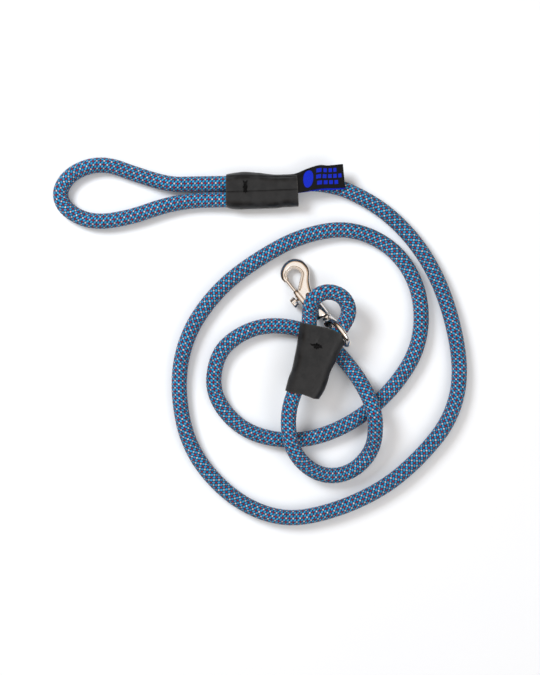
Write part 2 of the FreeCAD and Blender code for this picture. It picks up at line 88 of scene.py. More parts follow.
ROPE_ROUTE = [
    # short leg in the handle sleeve, then round the hand loop
    (16.0, -5.2, IN_HANDLE), (-2.5, -5.2, IN_HANDLE), (-27.0, -5.3, IN_HANDLE),
    (-47.5, -5.7, 5.4), (-66.0, -9.0, LAY), (-90.0, -17.5, LAY),
    (-114.5, -21.0, LAY), (-133.0, -12.5, LAY), (-138.0, 0.5, LAY),
    (-128.0, 14.0, LAY), (-107.5, 20.0, LAY), (-83.0, 11.0, LAY),
    (-62.5, 5.0, LAY), (-46.0, 5.4, 5.4),
    # long leg through the handle sleeve and out beside the label
    (-27.0, 5.6, IN_HANDLE), (-4.5, 6.0, IN_HANDLE), (20.5, 5.8, IN_HANDLE),
    (41.5, 5.5, 5.8), (61.0, 0.5, LAY),
    # outer turn of the spiral
    (88.0, -16.0, LAY), (112.0, -44.0, LAY), (127.5, -79.5, LAY),
    (135.5, -122.0, LAY), (128.0, -154.0, LAY), (107.0, -180.0, LAY),
    (81.5, -201.5, LAY), (46.5, -217.0, LAY), (12.5, -222.5, LAY),
    (-22.0, -207.0, LAY), (-50.0, -174.0, LAY), (-58.0, -130.0, LAY),
    (-50.5, -94.5, LAY), (-29.5, -65.5, LAY), (-4.0, -46.0, LAY),
    (26.0, -29.5, LAY), (59.5, -23.5, LAY), (90.5, -38.0, LAY),
    # inner turn
    (108.0, -67.5, LAY), (107.5, -104.5, LAY), (87.0, -136.0, LAY),
    (57.0, -159.5, LAY), (23.0, -170.0, LAY), (-12.5, -163.0, LAY),
    (-34.0, -138.0, LAY), (-31.0, -110.5, LAY), (-16.5, -96.5, LAY),
    # under the snap sleeve
    (3.5, -89.5, LAY), (28.0, -92.5, LAY), (45.5, -102.5, LAY),
    (56.0, -113.8, LAY),
    # over the inner turn, round the bottom and over it again
    (66.5, -128.2, 12.2), (73.6, -142.5, 17.3), (76.6, -156.0, 16.9),
    (75.0, -175.0, 8.8), (60.0, -191.0, LAY), (38.5, -192.5, 7.5),
    (20.0, -176.0, OVER), (16.5, -150.0, 17.0),
    # through the snap sleeve, round the small loop, down through the swivel eye
    (25.0, -126.5, IN_SNAP), (30.0, -104.5, IN_SNAP), (32.0, -85.0, 17.3),
    (32.0, -74.5, 22.6), (42.0, -67.0, 23.6), (54.5, -70.5, 21.4),
    (59.5, -82.0, 18.3), (51.0, -95.5, 17.2), (41.6, -110.2, IN_SNAP),
    (38.0, -123.5, IN_SNAP),
]

route_curve = bpy.data.curves.new("rope_route", "CURVE")
route_curve.dimensions = "3D"
route_curve.resolution_u = 24
spline = route_curve.splines.new("NURBS")
spline.points.add(len(ROPE_ROUTE) - 1)
for control, point in zip(spline.points, ROPE_ROUTE):
    control.co = [v * MM for v in point] + [1.0]
spline.order_u = 3
spline.use_endpoint_u = True

route_object = bpy.data.objects.new("rope_route", route_curve)
bpy.context.scene.collection.objects.link(route_object)
bpy.context.view_layer.update()
route_mesh = bpy.data.meshes.new_from_object(route_object)
rope_line = np.array([v.co for v in route_mesh.vertices])
bpy.data.objects.remove(route_object)
bpy.data.meshes.remove(route_mesh)
rope_length = np.linalg.norm(np.diff(rope_line, axis=0), axis=1).sum()
print("rope line:", len(rope_line), "points,", round(rope_length, 4), "m")

# %% [markdown]
# ## Helpers for meshes
# Most pieces here are a grid of points: round a rope, round a rubber tube, or across
# a ribbon.  One helper turns such a grid into a mesh and gives it a UV map.  Another
# carries a frame along a line without twisting it, which is how a tube is swept.

# %% Grid meshes
def link_mesh(name, mesh):
    piece = bpy.data.objects.new(name, mesh)
    bpy.context.scene.collection.objects.link(piece)
    return piece


def grid_faces(rows, cols, wrap_cols, wrap_rows=False):
    """Corner indices of a grid's quads, and each corner's (row, col) for its UV."""
    r = np.arange(rows if wrap_rows else rows - 1)
    c = np.arange(cols if wrap_cols else cols - 1)
    r, c = np.meshgrid(r, c, indexing="ij")
    r, c = r.ravel(), c.ravel()
    steps = [(0, 0), (0, 1), (1, 1), (1, 0)]
    corners = np.stack(
        [((r + dr) % rows) * cols + (c + dc) % cols for dr, dc in steps], axis=1
    )
    places = np.stack([np.stack([r + dr, c + dc], axis=1) for dr, dc in steps], axis=1)
    return corners, places


def grid_mesh(name, points, wrap=True, wrap_rows=False, uv_scale=(1.0, 1.0), caps=False):
    """A mesh from a (rows, cols, 3) grid; columns can wrap round."""
    rows, cols, _ = points.shape
    corners, places = grid_faces(rows, cols, wrap, wrap_rows)
    faces = corners.tolist()
    if caps:
        faces.append(list(range(cols))[::-1])
        faces.append([(rows - 1) * cols + c for c in range(cols)])
    mesh = bpy.data.meshes.new(name)
    mesh.from_pydata(points.reshape(-1, 3).tolist(), [], faces)
    uv = mesh.uv_layers.new(name="UVMap")
    flat = np.zeros((len(mesh.loops), 2))
    quads = places.reshape(-1, 2)
    flat[:len(quads), 0] = quads[:, 1] * uv_scale[0]
    flat[:len(quads), 1] = quads[:, 0] * uv_scale[1]
    uv.data.foreach_set("uv", flat.ravel())
    mesh.shade_smooth()
    mesh.update()
    return mesh


def spaced(line, step):
    """The line again, with points evenly spaced at about this step."""
    runs = np.linalg.norm(np.diff(line, axis=0), axis=1)
    along = np.concatenate([[0.0], np.cumsum(runs)])
    count = max(2, int(round(along[-1] / step)) + 1)
    at = np.linspace(0.0, along[-1], count)
    return np.stack([np.interp(at, along, line[:, k]) for k in range(3)], axis=1)


def carried_frames(line):
    """Side and up at each point, with no twist along the line."""
    tangents = np.gradient(line, axis=0)
    tangents /= np.linalg.norm(tangents, axis=1)[:, None]
    side = np.cross(tangents[0], (0.0, 0.0, 1.0))
    side /= np.linalg.norm(side)
    sides = [side]
    for tangent in tangents[1:]:
        side = sides[-1] - tangent * np.dot(sides[-1], tangent)
        sides.append(side / np.linalg.norm(side))
    sides = np.array(sides)
    return sides, np.cross(sides, tangents)


def tube_grid(line, radii, around):
    """Rings of points round a line; radii is one number or a (rings, around) array."""
    sides, ups = carried_frames(line)
    turn = np.arange(around) * 2 * math.pi / around
    out = (np.cos(turn)[None, :, None] * sides[:, None, :]
           + np.sin(turn)[None, :, None] * ups[:, None, :])
    radii = np.broadcast_to(np.asarray(radii, float), (len(line), around))
    return line[:, None, :] + out * radii[:, :, None]


print("helpers ready")

# %% [markdown]
# ## The braid
# A climbing rope's sheath is braided from yarns that run round it both ways, each
# going over one and under one.  The yarns that rise to the right are off-white and red
# by turns, the ones that fall are all blue.  Seen flat, the braid is a grid of half
# steps: p along the rope and q round it.  A rising yarn is on top where p and q are
# both even, a falling one where both are odd, and the rest are the dark gaps between.
# The rule is worked out twice: here as real bumps on the tube, and below in a shader
# group that colours each yarn and draws the rising ones a little narrower.

# %% Rope mesh
ROPE_R = 5.25 * MM
HALF_STEP = 1.175 * MM          # along the rope, from a yarn's top to its bottom
HALF_STEPS_ROUND = 24
AROUND = 2 * HALF_STEPS_ROUND   # points round the rope
RELIEF = 0.42 * MM              # from a gap's bottom to a yarn's crown
SIDE_FALL = 0.9                 # how far a yarn falls away from its middle to its side
GAP_LEVEL = -0.6                # the rule's lowest value, where a crown is 1
UNEVEN = 0.004                  # how much the radius varies from point to point
PROUDEST = 0.02 * MM            # how far a point may stand out of the rope's radius


def braid_height(p, q):
    """Height of the braid's surface from 0 in a gap to 1 on a yarn's crown."""
    across_up = (p - q) / 2
    across_down = (p + q) / 2
    yarn_up = np.round(across_up)
    yarn_down = np.round(across_down)
    crown_up = np.cos(math.pi * (across_down + yarn_up))
    crown_down = -np.cos(math.pi * (across_up + yarn_down))
    side_up = 4 * (across_up - yarn_up) ** 2
    side_down = 4 * (across_down - yarn_down) ** 2
    height = np.maximum(crown_up - SIDE_FALL * side_up,
                        crown_down - SIDE_FALL * side_down)
    return np.clip((height - GAP_LEVEL) / (1 - GAP_LEVEL), 0.0, 1.0)


half_steps = int(round(rope_length / HALF_STEP / 2)) * 2
ring_line = spaced(rope_line, rope_length / half_steps)
p = np.arange(len(ring_line))[:, None].astype(float)
q = (np.arange(AROUND) * HALF_STEPS_ROUND / AROUND)[None, :]
radii = ROPE_R - RELIEF * (1 - braid_height(p, q))
radii *= 1 + UNEVEN * rng.standard_normal(radii.shape)
radii = np.minimum(radii, ROPE_R + PROUDEST)
points = tube_grid(ring_line, radii, AROUND)
rope_mesh = grid_mesh("rope", points, uv_scale=(1.0 / AROUND, 0.5), caps=True)
rope = link_mesh("rope", rope_mesh)
print("rope mesh:", len(rope_mesh.polygons), "faces,", half_steps // 2, "cells long")

# %% [markdown]
# A second UV map is only for baking the rope's colours into a picture.  A rope
# 1.7 m long is a very thin strip, so it is cut into rows that are laid side by side.

# %% Rows for baking
BAKE_ROWS = 8
ROW_MARGIN = 0.03       # left free at each side of a row, as a share of its height
END_MARGIN = 0.002      # left free at each end of a row, as a share of its length
corners, places = grid_faces(len(ring_line), AROUND, True)
row_of = places.reshape(-1, 4, 2)[:, :, 0].min(axis=1)
per_row = math.ceil((len(ring_line) - 1) / BAKE_ROWS)
strip = row_of // per_row
bake = np.zeros((len(rope_mesh.loops), 2))
u = (places[:, :, 0] - (strip * per_row)[:, None]) / per_row
v = strip[:, None] + ROW_MARGIN + (1 - 2 * ROW_MARGIN) * places[:, :, 1] / AROUND
v = v / BAKE_ROWS
bake[:u.size, 0] = END_MARGIN + (1 - 2 * END_MARGIN) * u.ravel()
bake[:u.size, 1] = v.ravel()
bake_map = rope_mesh.uv_layers.new(name="OFBake")
bake_map.data.foreach_set("uv", bake.ravel())
rope_mesh.uv_layers.active = rope_mesh.uv_layers["UVMap"]
rope_mesh.uv_layers["UVMap"].active_render = True
print("baking rows:", BAKE_ROWS)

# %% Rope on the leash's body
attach(rope, "leash")
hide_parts("rope_sheath", "rope_core")

# %% [markdown]
# ## Helpers for materials
# Every material is made of nodes.  These helpers keep the code short: one adds a
# node, one joins a value or a socket to an input, and one does a sum.

# %% Node helpers
def add(tree, kind, **settings):
    node = tree.nodes.new(kind)
    for key, value in settings.items():
        setattr(node, key, value)
    return node


def plug(tree, socket, value):
    if isinstance(value, bpy.types.NodeSocket):
        tree.links.new(value, socket)
    else:
        socket.default_value = value


def calc(tree, operation, *values):
    node = add(tree, "ShaderNodeMath", operation=operation)
    for socket, value in zip(node.inputs, values):
        plug(tree, socket, value)
    return node.outputs[0]


def remap(tree, value, low, high, to_low=0.0, to_high=1.0):
    node = add(tree, "ShaderNodeMapRange", interpolation_type="SMOOTHSTEP")
    for socket, item in zip(node.inputs, (value, low, high, to_low, to_high)):
        plug(tree, socket, item)
    return node.outputs[0]


def blend(tree, share, first, second, mode="MIX"):
    node = add(tree, "ShaderNodeMix", data_type="RGBA", blend_type=mode)
    plug(tree, node.inputs[0], share)
    plug(tree, node.inputs[6], first)
    plug(tree, node.inputs[7], second)
    return node.outputs[2]


def noise(tree, vector, scale, detail=3.0, roughness=0.55):
    node = add(tree, "ShaderNodeTexNoise")
    plug(tree, node.inputs["Vector"], vector)
    plug(tree, node.inputs["Scale"], scale)
    plug(tree, node.inputs["Detail"], detail)
    plug(tree, node.inputs["Roughness"], roughness)
    return node.outputs["Fac"]


def combine(tree, x, y, z=0.0):
    node = add(tree, "ShaderNodeCombineXYZ")
    for socket, value in zip(node.inputs, (x, y, z)):
        plug(tree, socket, value)
    return node.outputs[0]


def place_of(tree):
    """The point on the object, in metres."""
    return add(tree, "ShaderNodeTexCoord").outputs["Object"]


def new_group(name, inputs, outputs):
    """A shader node group with named sockets; returns its tree and the two end nodes."""
    tree = bpy.data.node_groups.new(name, "ShaderNodeTree")
    for label, kind, default in inputs:
        socket = tree.interface.new_socket(label, in_out="INPUT", socket_type=kind)
        if default is not None:
            socket.default_value = default
    for label, kind in outputs:
        tree.interface.new_socket(label, in_out="OUTPUT", socket_type=kind)
    start = tree.nodes.new("NodeGroupInput")
    end = tree.nodes.new("NodeGroupOutput")
    return tree, start, end


def use_group(tree, group, **inputs):
    node = add(tree, "ShaderNodeGroup", node_tree=group)
    for label, value in inputs.items():
        plug(tree, node.inputs[label.replace("_", " ")], value)
    return node


def new_material(name, roughness=0.5, metallic=0.0, **settings):
    """A material with a Principled shader; returns it, its tree and the shader."""
    material = bpy.data.materials.new(name)
    material.use_nodes = True
    tree = material.node_tree
    shader = next(n for n in tree.nodes if n.type == "BSDF_PRINCIPLED")
    shader.inputs["Roughness"].default_value = roughness
    shader.inputs["Metallic"].default_value = metallic
    for label, value in settings.items():
        shader.inputs[label.replace("_", " ")].default_value = value
    return material, tree, shader


def bump(tree, shader, height, distance, strength):
    node = add(tree, "ShaderNodeBump")
    node.inputs["Strength"].default_value = strength
    node.inputs["Distance"].default_value = distance
    plug(tree, node.inputs["Height"], height)
    tree.links.new(node.outputs[0], shader.inputs["Normal"])


def mottled(name, low, high, scale, detail=3.0, **settings):
    """A plain material that varies softly between two colours."""
    material, tree, shader = new_material(name, **settings)
    clouds = noise(tree, place_of(tree), scale, detail)
    tree.links.new(blend(tree, clouds, low, high), shader.inputs["Base Color"])
    return material


print("node helpers ready")

# %% [markdown]
# ## The braid's colours
# The group takes the rope's UV map, where one unit round is a full turn and one unit
# along is a whole cell, and repeats the rule that shaped the mesh.  It puts out which
# family of yarns is on top, whether a rising yarn is a red one, the height, and a
# pattern of fine filaments that follows each yarn.

# %% Braid group
FLOAT = "NodeSocketFloat"
VECTOR = "NodeSocketVector"
RISING_FALL = 4.2       # how steeply a rising yarn falls away to its sides
FALLING_FALL = 2.5      # the same for a falling yarn, which looks wider
FILAMENT_SLANT = 0.35   # how much the filaments lie across their yarn

braid, braid_in, braid_out = new_group(
    "braid",
    [("Vector", VECTOR, None), ("Half steps round", FLOAT, float(HALF_STEPS_ROUND)),
     ("Filaments", FLOAT, 6.0), ("Red width", FLOAT, 1.9),
     ("Rise", FLOAT, -0.20)],
    [("Rising", FLOAT), ("Red", FLOAT), ("Height", FLOAT), ("Filament", FLOAT),
     ("Float end", FLOAT), ("Yarn shade", FLOAT)],
)


def braid_family(tree, across, along, sign, width):
    """One family of yarns: its number, its height and where across it we are."""
    yarn = calc(tree, "ROUND", across)
    offset = calc(tree, "SUBTRACT", across, yarn)
    phase = calc(tree, "MULTIPLY", calc(tree, "ADD", along, yarn), math.pi)
    crown = calc(tree, "MULTIPLY", calc(tree, "COSINE", phase), sign)
    side = calc(tree, "MULTIPLY", calc(tree, "MULTIPLY", offset, offset), width)
    return yarn, calc(tree, "SUBTRACT", crown, side), offset, crown


def choose(tree, share, first, second):
    node = add(tree, "ShaderNodeMix", data_type="FLOAT")
    for socket, value in zip((node.inputs[0], node.inputs[2], node.inputs[3]),
                             (share, first, second)):
        plug(tree, socket, value)
    return node.outputs[0]


def build_braid(tree, start, end):
    split = add(tree, "ShaderNodeSeparateXYZ")
    tree.links.new(start.outputs["Vector"], split.inputs[0])
    q = calc(tree, "MULTIPLY", split.outputs[0], start.outputs["Half steps round"])
    p = calc(tree, "MULTIPLY", split.outputs[1], 2.0)
    up = calc(tree, "MULTIPLY", calc(tree, "SUBTRACT", p, q), 0.5)
    down = calc(tree, "MULTIPLY", calc(tree, "ADD", p, q), 0.5)

    red = calc(tree, "ABSOLUTE", calc(tree, "MODULO", calc(tree, "ROUND", up), 2.0))
    width = calc(tree, "MULTIPLY_ADD", red, start.outputs["Red width"],
                 RISING_FALL)
    up_yarn, up_height, up_off, up_crown = braid_family(tree, up, down, 1.0, width)
    up_height = calc(tree, "ADD", up_height, start.outputs["Rise"])
    dn_yarn, dn_height, dn_off, dn_crown = braid_family(tree, down, up, -1.0,
                                                        FALLING_FALL)

    gap = calc(tree, "SUBTRACT", up_height, dn_height)
    rising = remap(tree, gap, -0.05, 0.05)
    height = calc(tree, "MAXIMUM", up_height, dn_height)
    offset = choose(tree, rising, dn_off, up_off)
    crown = choose(tree, rising, dn_crown, up_crown)

    ply = calc(tree, "MULTIPLY", offset, start.outputs["Filaments"])
    ply = calc(tree, "MULTIPLY_ADD", crown, FILAMENT_SLANT, ply)
    ply = calc(tree, "COSINE", calc(tree, "MULTIPLY", ply, 2 * math.pi))
    seed = combine(tree, calc(tree, "MULTIPLY", up_yarn, 1.7),
                   calc(tree, "MULTIPLY", dn_yarn, 2.3), rising)
    shade = add(tree, "ShaderNodeTexWhiteNoise", noise_dimensions="3D")
    tree.links.new(seed, shade.inputs["Vector"])

    plug(tree, end.inputs["Rising"], rising)
    plug(tree, end.inputs["Red"], red)
    plug(tree, end.inputs["Height"], remap(tree, height, GAP_LEVEL, 1.0))
    plug(tree, end.inputs["Filament"], calc(tree, "MULTIPLY_ADD", ply, 0.5, 0.5))
    plug(tree, end.inputs["Float end"], remap(tree, crown, 0.2, 0.95))
    plug(tree, end.inputs["Yarn shade"], shade.outputs["Value"])


build_braid(braid, braid_in, braid_out)
print("braid group:", len(braid.nodes), "nodes")

# %% Rope material
BLUE = (0.032, 0.320, 0.590, 1.0)
# painted shade: the blue towards each float's ends, where the yarn dips
BLUE_SHADED = (0.006, 0.130, 0.290, 1.0)
OFF_WHITE = (0.68, 0.49, 0.47, 1.0)
# painted shade: the off-white where the yarn dips under its neighbours
OFF_WHITE_SHADED = (0.05, 0.11, 0.20, 1.0)
RED = (0.38, 0.010, 0.020, 1.0)
# painted shade: the red where the yarn dips under its neighbours
RED_SHADED = (0.05, 0.006, 0.030, 1.0)
# painted shade: dark navy in the gaps between the yarns
GAP_SHADE = (0.002, 0.030, 0.085, 1.0)


def make_rope_material():
    material, tree, shader = new_material(
        "braided_nylon", roughness=0.68, Sheen_Weight=0.08, Sheen_Roughness=0.5,
        Specular_IOR_Level=0.35
    )
    uv = add(tree, "ShaderNodeUVMap", uv_map="UVMap").outputs[0]
    yarns = use_group(tree, braid, Vector=uv)
    place = place_of(tree)
    wear = noise(tree, place, scale=60.0, detail=4.0)
    fuzz = noise(tree, place, scale=2600.0, detail=2.0)

    top = yarns.outputs["Float end"]
    # painted shade: each blue float is painted darker towards its ends
    blue = blend(tree, top, BLUE_SHADED, BLUE)
    # painted shade: the off-white and red yarns are painted darker where they dip
    rise = remap(tree, yarns.outputs["Height"], 0.45, 0.78)
    white = blend(tree, rise, OFF_WHITE_SHADED, OFF_WHITE)
    red = blend(tree, rise, RED_SHADED, RED)
    rising = blend(tree, yarns.outputs["Red"], white, red)
    colour = blend(tree, yarns.outputs["Rising"], blue, rising)
    shade = remap(tree, yarns.outputs["Yarn shade"], 0.0, 1.0, 0.80, 1.12)
    strands = remap(tree, yarns.outputs["Filament"], 0.0, 1.0, 0.84, 1.05)
    worn = remap(tree, wear, 0.3, 0.7, 0.92, 1.06)
    light = calc(tree, "MULTIPLY", calc(tree, "MULTIPLY", shade, strands), worn)
    colour = blend(tree, 1.0, colour, combine(tree, light, light, light), "MULTIPLY")
    # painted shade: the gaps between the yarns are painted dark navy
    depth = remap(tree, yarns.outputs["Height"], 0.10, 0.62)
    colour = blend(tree, depth, GAP_SHADE, colour)
    tree.links.new(colour, shader.inputs["Base Color"])

    rough = remap(tree, fuzz, 0.3, 0.7, 0.60, 0.78)
    tree.links.new(rough, shader.inputs["Roughness"])
    fine = calc(tree, "MULTIPLY", yarns.outputs["Filament"], 0.16)
    fine = calc(tree, "MULTIPLY_ADD", fuzz, 0.10, fine)
    height = calc(tree, "ADD", yarns.outputs["Height"], fine)
    bump(tree, shader, height, distance=0.35 * MM, strength=0.8)
    return material


rope_material = make_rope_material()
rope.data.materials.append(rope_material)
print("rope material ready")

# %% [markdown]
# ## The rubber sleeves
# Each sleeve is a strip of black rubber wrapped round two legs of the rope and glued
# along its overlap.  Its section is two half circles joined by flats, so it is drawn
# as a grid: one ring of points for each step along the sleeve.  The overlap's edge is
# a real step in the ring, the rubber sinks a little between the legs and is drawn
# in round the stitch, and the strip has a real thickness that shows at its mouths.

# %% Sleeve section
SLEEVE_WALL = 1.15 * MM
ARC_POINTS = 26
FLAT_POINTS = 30
SEAM_HALF = 0.05 * MM           # half the width over which the overlap's edge drops


def flat_stations(high, low, seam):
    """Places across the sleeve's top, dense at the seam so that its edge is sharp."""
    upper = np.linspace(high, seam + SEAM_HALF, FLAT_POINTS // 2)
    lower = np.linspace(seam - SEAM_HALF, low, FLAT_POINTS // 2)
    return np.concatenate([upper, lower])


def sleeve_section(high, low, radius, seam):
    """(across, up, out across, out up) round one section, from its high side on."""
    turn = np.linspace(-math.pi / 2, math.pi / 2, ARC_POINTS)
    side = np.stack([high + radius * np.cos(turn), radius * np.sin(turn),
                     np.cos(turn), np.sin(turn)], axis=1)
    across = flat_stations(high, low, seam)[1:-1]
    flat = np.stack([across, np.full_like(across, radius),
                     np.zeros_like(across), np.ones_like(across)], axis=1)
    turn = turn + math.pi
    other = np.stack([low + radius * np.cos(turn), radius * np.sin(turn),
                      np.cos(turn), np.sin(turn)], axis=1)
    across = np.linspace(low, high, FLAT_POINTS)[1:-1]
    under = np.stack([across, np.full_like(across, -radius),
                      np.zeros_like(across), -np.ones_like(across)], axis=1)
    return np.concatenate([side, flat, other, under])


FINE_POINTS = 200
SOFTEN = 21             # how many of the fine points are averaged into one


def through(points, at):
    """A smooth line through a few (x, y) points, read at each place in at."""
    xs, ys = np.array(points).T
    fine = np.linspace(xs[0], xs[-1], FINE_POINTS)
    line = np.interp(fine, xs, ys)
    padded = np.pad(line, SOFTEN // 2, mode="reflect", reflect_type="odd")
    line = np.convolve(padded, np.ones(SOFTEN) / SOFTEN, mode="valid")
    return np.interp(at, fine, line)


def bell(value, width):
    """1 where the value is 0, falling softly to nothing past the width."""
    return np.exp(-(value / width) ** 2)


RIPPLES = 14
RIPPLE_RATES = (0.05, 0.55)     # radians per mm, slowest and fastest
RIPPLE_SHARE = 1 / 6            # brings the sum of the waves back to about 1


def ripple(along, around, seed):
    """Soft, irregular waves in the rubber, from a few sums of sines."""
    wave_rng = np.random.default_rng(seed)
    total = np.zeros(np.broadcast(along, around).shape)
    for _ in range(RIPPLES):
        k_along, k_around = wave_rng.uniform(*RIPPLE_RATES, 2)
        phase = wave_rng.uniform(0, 2 * math.pi)
        tilt = wave_rng.choice([-1, 1])
        total += np.sin(k_along * along / MM + tilt * k_around * around / MM + phase)
    return total * RIPPLE_SHARE


print("sleeve helpers ready")

# %% Sleeve mesh
SLEEVE_STEPS = 84
RIPPLE_DEPTH = 0.10 * MM
SAG_WIDTH = 2.6 * MM        # half the width of the dip between the two legs
LAP_FADE = 11 * MM          # how far from its edge the overlap still stands out
PLEATS = 5
DRAWN_IN = 0.55 * MM        # at the stitch
PLEAT_DEPTH = 0.22 * MM
LIP = 0.12 * MM             # how much a cut edge is rounded
LIP_STEP = 0.35             # where the rounding starts, as a share of a step along
LIP_ROWS = 1.6              # how many rows the worn edge fades over


def sleeve_grid(spec):
    """Outer and inner grids of a sleeve in its own frame: x along it, z up."""
    along = np.linspace(spec["start"], spec["end"], SLEEVE_STEPS) * MM
    radius = spec["height"] / 2 * MM
    highs = through(spec["upper"], along / MM) * MM - radius
    lows = through(spec["lower"], along / MM) * MM + radius
    seams = np.interp(along / MM, *zip(*spec["seam"])) * MM
    outer, inner = [], []
    for x, high, low, seam in zip(along, highs, lows, seams):
        ring = sleeve_section(high, low, radius, seam)
        across, up = ring[:, 0], ring[:, 1]
        on_top = np.clip(ring[:, 3], 0, 1) ** 2
        push = relief(spec, x, across, on_top, ring[:, 3], seam, high, low)
        points = np.stack([np.full_like(across, x), across, up], axis=1)
        out = np.stack([np.zeros_like(across), ring[:, 2], ring[:, 3]], axis=1)
        outer.append(points + out * push[:, None])
        inner.append(points - out * (SLEEVE_WALL - np.minimum(push, 0)[:, None] * 0.6))
    return np.array(outer), np.array(inner)


def relief(spec, x, across, on_top, up, seam, high, low):
    """How far the rubber stands out from the plain section at each point."""
    push = RIPPLE_DEPTH * ripple(x, across + up * 4 * MM, spec["seed"])
    sag = spec["sag"] * MM * bell(across - (high + low) / 2, SAG_WIDTH)
    push = push - sag * np.abs(up)
    push = push + overlap_relief(spec["lap"] * MM, across - seam) * on_top
    if spec["fold"]:
        push = push + fold_relief(across - spec["fold"] * MM) * (up > 0.2)
    push = push - stitch_relief(spec, x, across) * on_top
    for crease in spec["creases"]:
        push = push + crease_relief(crease, x, across) * on_top
    return push


def overlap_relief(step, past_seam):
    """The strip's loose edge: a step up that fades, with a groove at its foot."""
    lap = (past_seam > 0) * np.exp(-np.maximum(past_seam, 0) / LAP_FADE)
    groove = bell(past_seam + 0.28 * MM, 0.3 * MM) * (past_seam < 0)
    return step * (lap - 0.7 * groove)


def fold_relief(off):
    """A crease that runs the sleeve's whole length, with a soft ridge beside it."""
    return (0.16 * MM * bell(off - 0.8 * MM, 0.5 * MM)
            - 0.50 * MM * bell(off, 0.35 * MM))


def stitch_relief(spec, x, across):
    """How deep the thread draws the rubber in, with pleats that fan out round it."""
    dx, dy = x - spec["stitch"][0] * MM, across - spec["stitch"][1] * MM
    away = np.hypot(dx * spec["stitch_shape"][0], dy * spec["stitch_shape"][1])
    pleats = 0.5 + 0.5 * np.cos(PLEATS * np.arctan2(dy, dx) + 0.7)
    return (DRAWN_IN * bell(away, 2.2 * MM)
            + PLEAT_DEPTH * bell(away, 5.0 * MM) * pleats)


def crease_relief(crease, x, across):
    """A short crease from one point to another, with soft ridges along it."""
    a, b, deep = np.array(crease[:2]) * MM, np.array(crease[2:4]) * MM, crease[4] * MM
    run = b - a
    share = ((x - a[0]) * run[0] + (across - a[1]) * run[1]) / np.dot(run, run)
    inside = np.clip(share, 0, 1)
    off = np.hypot(x - a[0] - inside * run[0], across - a[1] - inside * run[1])
    return deep * (0.5 * bell(off - 1.0 * MM, 0.6 * MM) - bell(off, 0.45 * MM))


def close_sleeve(outer, inner):
    """One closed grid: out along the outside, round the mouth, back along the inside."""
    start = outer[0] + (outer[1] - outer[0]) * LIP_STEP
    end = outer[-1] + (outer[-2] - outer[-1]) * LIP_STEP
    outer = outer.copy()
    for mouth in (0, -1):
        inward = inner[mouth] - outer[mouth]
        outer[mouth] += inward / np.linalg.norm(inward, axis=1)[:, None] * LIP
    rings = [outer[0], start, *outer[1:-1], end, outer[-1],
             (outer[-1] + inner[-1]) / 2]
    rings += [*inner[::-1], (outer[0] + inner[0]) / 2]
    return np.array(rings)


def shape_mouth(points, spec):
    """Slides points along the sleeve so that its mouths have their slanted outline."""
    start, end = spec["start"] * MM, spec["end"] * MM
    share = (points[..., 0] - start) / (end - start)
    across = points[..., 1] / MM
    first = np.interp(across, *zip(*spec["near_mouth"])) * MM
    last = np.interp(across, *zip(*spec["far_mouth"])) * MM
    points = points.copy()
    points[..., 0] = first + share * (last - first)
    return points


def turned(points, angle, move):
    """Points turned about +Z by an angle in degrees, then moved; mm for the move."""
    a = math.radians(angle)
    spin = np.array([[math.cos(a), -math.sin(a), 0], [math.sin(a), math.cos(a), 0],
                     [0, 0, 1]])
    return points @ spin.T + np.array(move) * MM


def make_sleeve(spec):
    outer, inner = sleeve_grid(spec)
    grid = shape_mouth(close_sleeve(outer, inner), spec)
    grid[..., 2] += spec["height"] / 2 * MM
    grid = turned(grid, spec["turn"], spec["move"])
    mesh = grid_mesh(spec["name"], grid, wrap=True, wrap_rows=True,
                     uv_scale=(1.0 / grid.shape[1], 1.0 / grid.shape[0]))
    lip = mesh.attributes.new("edge", "FLOAT", "POINT")
    rows = np.arange(grid.shape[0])
    last = SLEEVE_STEPS + 1
    worn = sum(bell(rows - edge, LIP_ROWS) for edge in (0, last, len(rows)))
    lip.data.foreach_set("value", np.repeat(np.clip(worn, 0, 1), grid.shape[1]))
    mesh.materials.append(rubber_material)
    piece = link_mesh(spec["name"], mesh)
    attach(piece, "leash")
    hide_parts(spec["node"])
    print(spec["name"], len(mesh.polygons), "faces")
    return piece


# %% [markdown]
# ## Rubber
# Old inner-tube rubber is nearly black and a little matt, with a faint bloom, fine
# pores and some scuffs.  The scuffs have a group of their own, which keeps the
# rubber's material short.  Where the strip is cut, the edge is worn paler.

# %% Scuff group
scuffs, scuffs_in, scuffs_out = new_group(
    "scuffs",
    [("Vector", VECTOR, None), ("Size", FLOAT, 400.0), ("Amount", FLOAT, 0.5)],
    [("Mask", FLOAT), ("Bloom", FLOAT), ("Pores", FLOAT)],
)


def build_scuffs(tree, start, end):
    vector = start.outputs["Vector"]
    size = start.outputs["Size"]
    bloom = noise(tree, vector, calc(tree, "MULTIPLY", size, 0.35), 5.0, 0.6)
    pores = noise(tree, vector, calc(tree, "MULTIPLY", size, 7.0), 3.0, 0.7)
    stretch = add(tree, "ShaderNodeMapping")
    tree.links.new(vector, stretch.inputs[0])
    stretch.inputs["Rotation"].default_value = (0.0, 0.0, 0.6)
    stretch.inputs["Scale"].default_value = (1.0, 9.0, 1.0)
    lines = noise(tree, stretch.outputs[0], calc(tree, "MULTIPLY", size, 0.8), 4.0, 0.7)
    amount = calc(tree, "MULTIPLY", start.outputs["Amount"], 0.3)
    edge = calc(tree, "SUBTRACT", 0.86, amount)
    marks = remap(tree, lines, edge, calc(tree, "ADD", edge, 0.08))
    plug(tree, end.inputs["Mask"], marks)
    plug(tree, end.inputs["Bloom"], remap(tree, bloom, 0.35, 0.7))
    plug(tree, end.inputs["Pores"], pores)


build_scuffs(scuffs, scuffs_in, scuffs_out)
print("scuff group:", len(scuffs.nodes), "nodes")

# %% Rubber material
RUBBER = (0.010, 0.010, 0.0105, 1.0)
RUBBER_BLOOM = (0.023, 0.023, 0.0235, 1.0)
RUBBER_WORN = (0.075, 0.071, 0.066, 1.0)


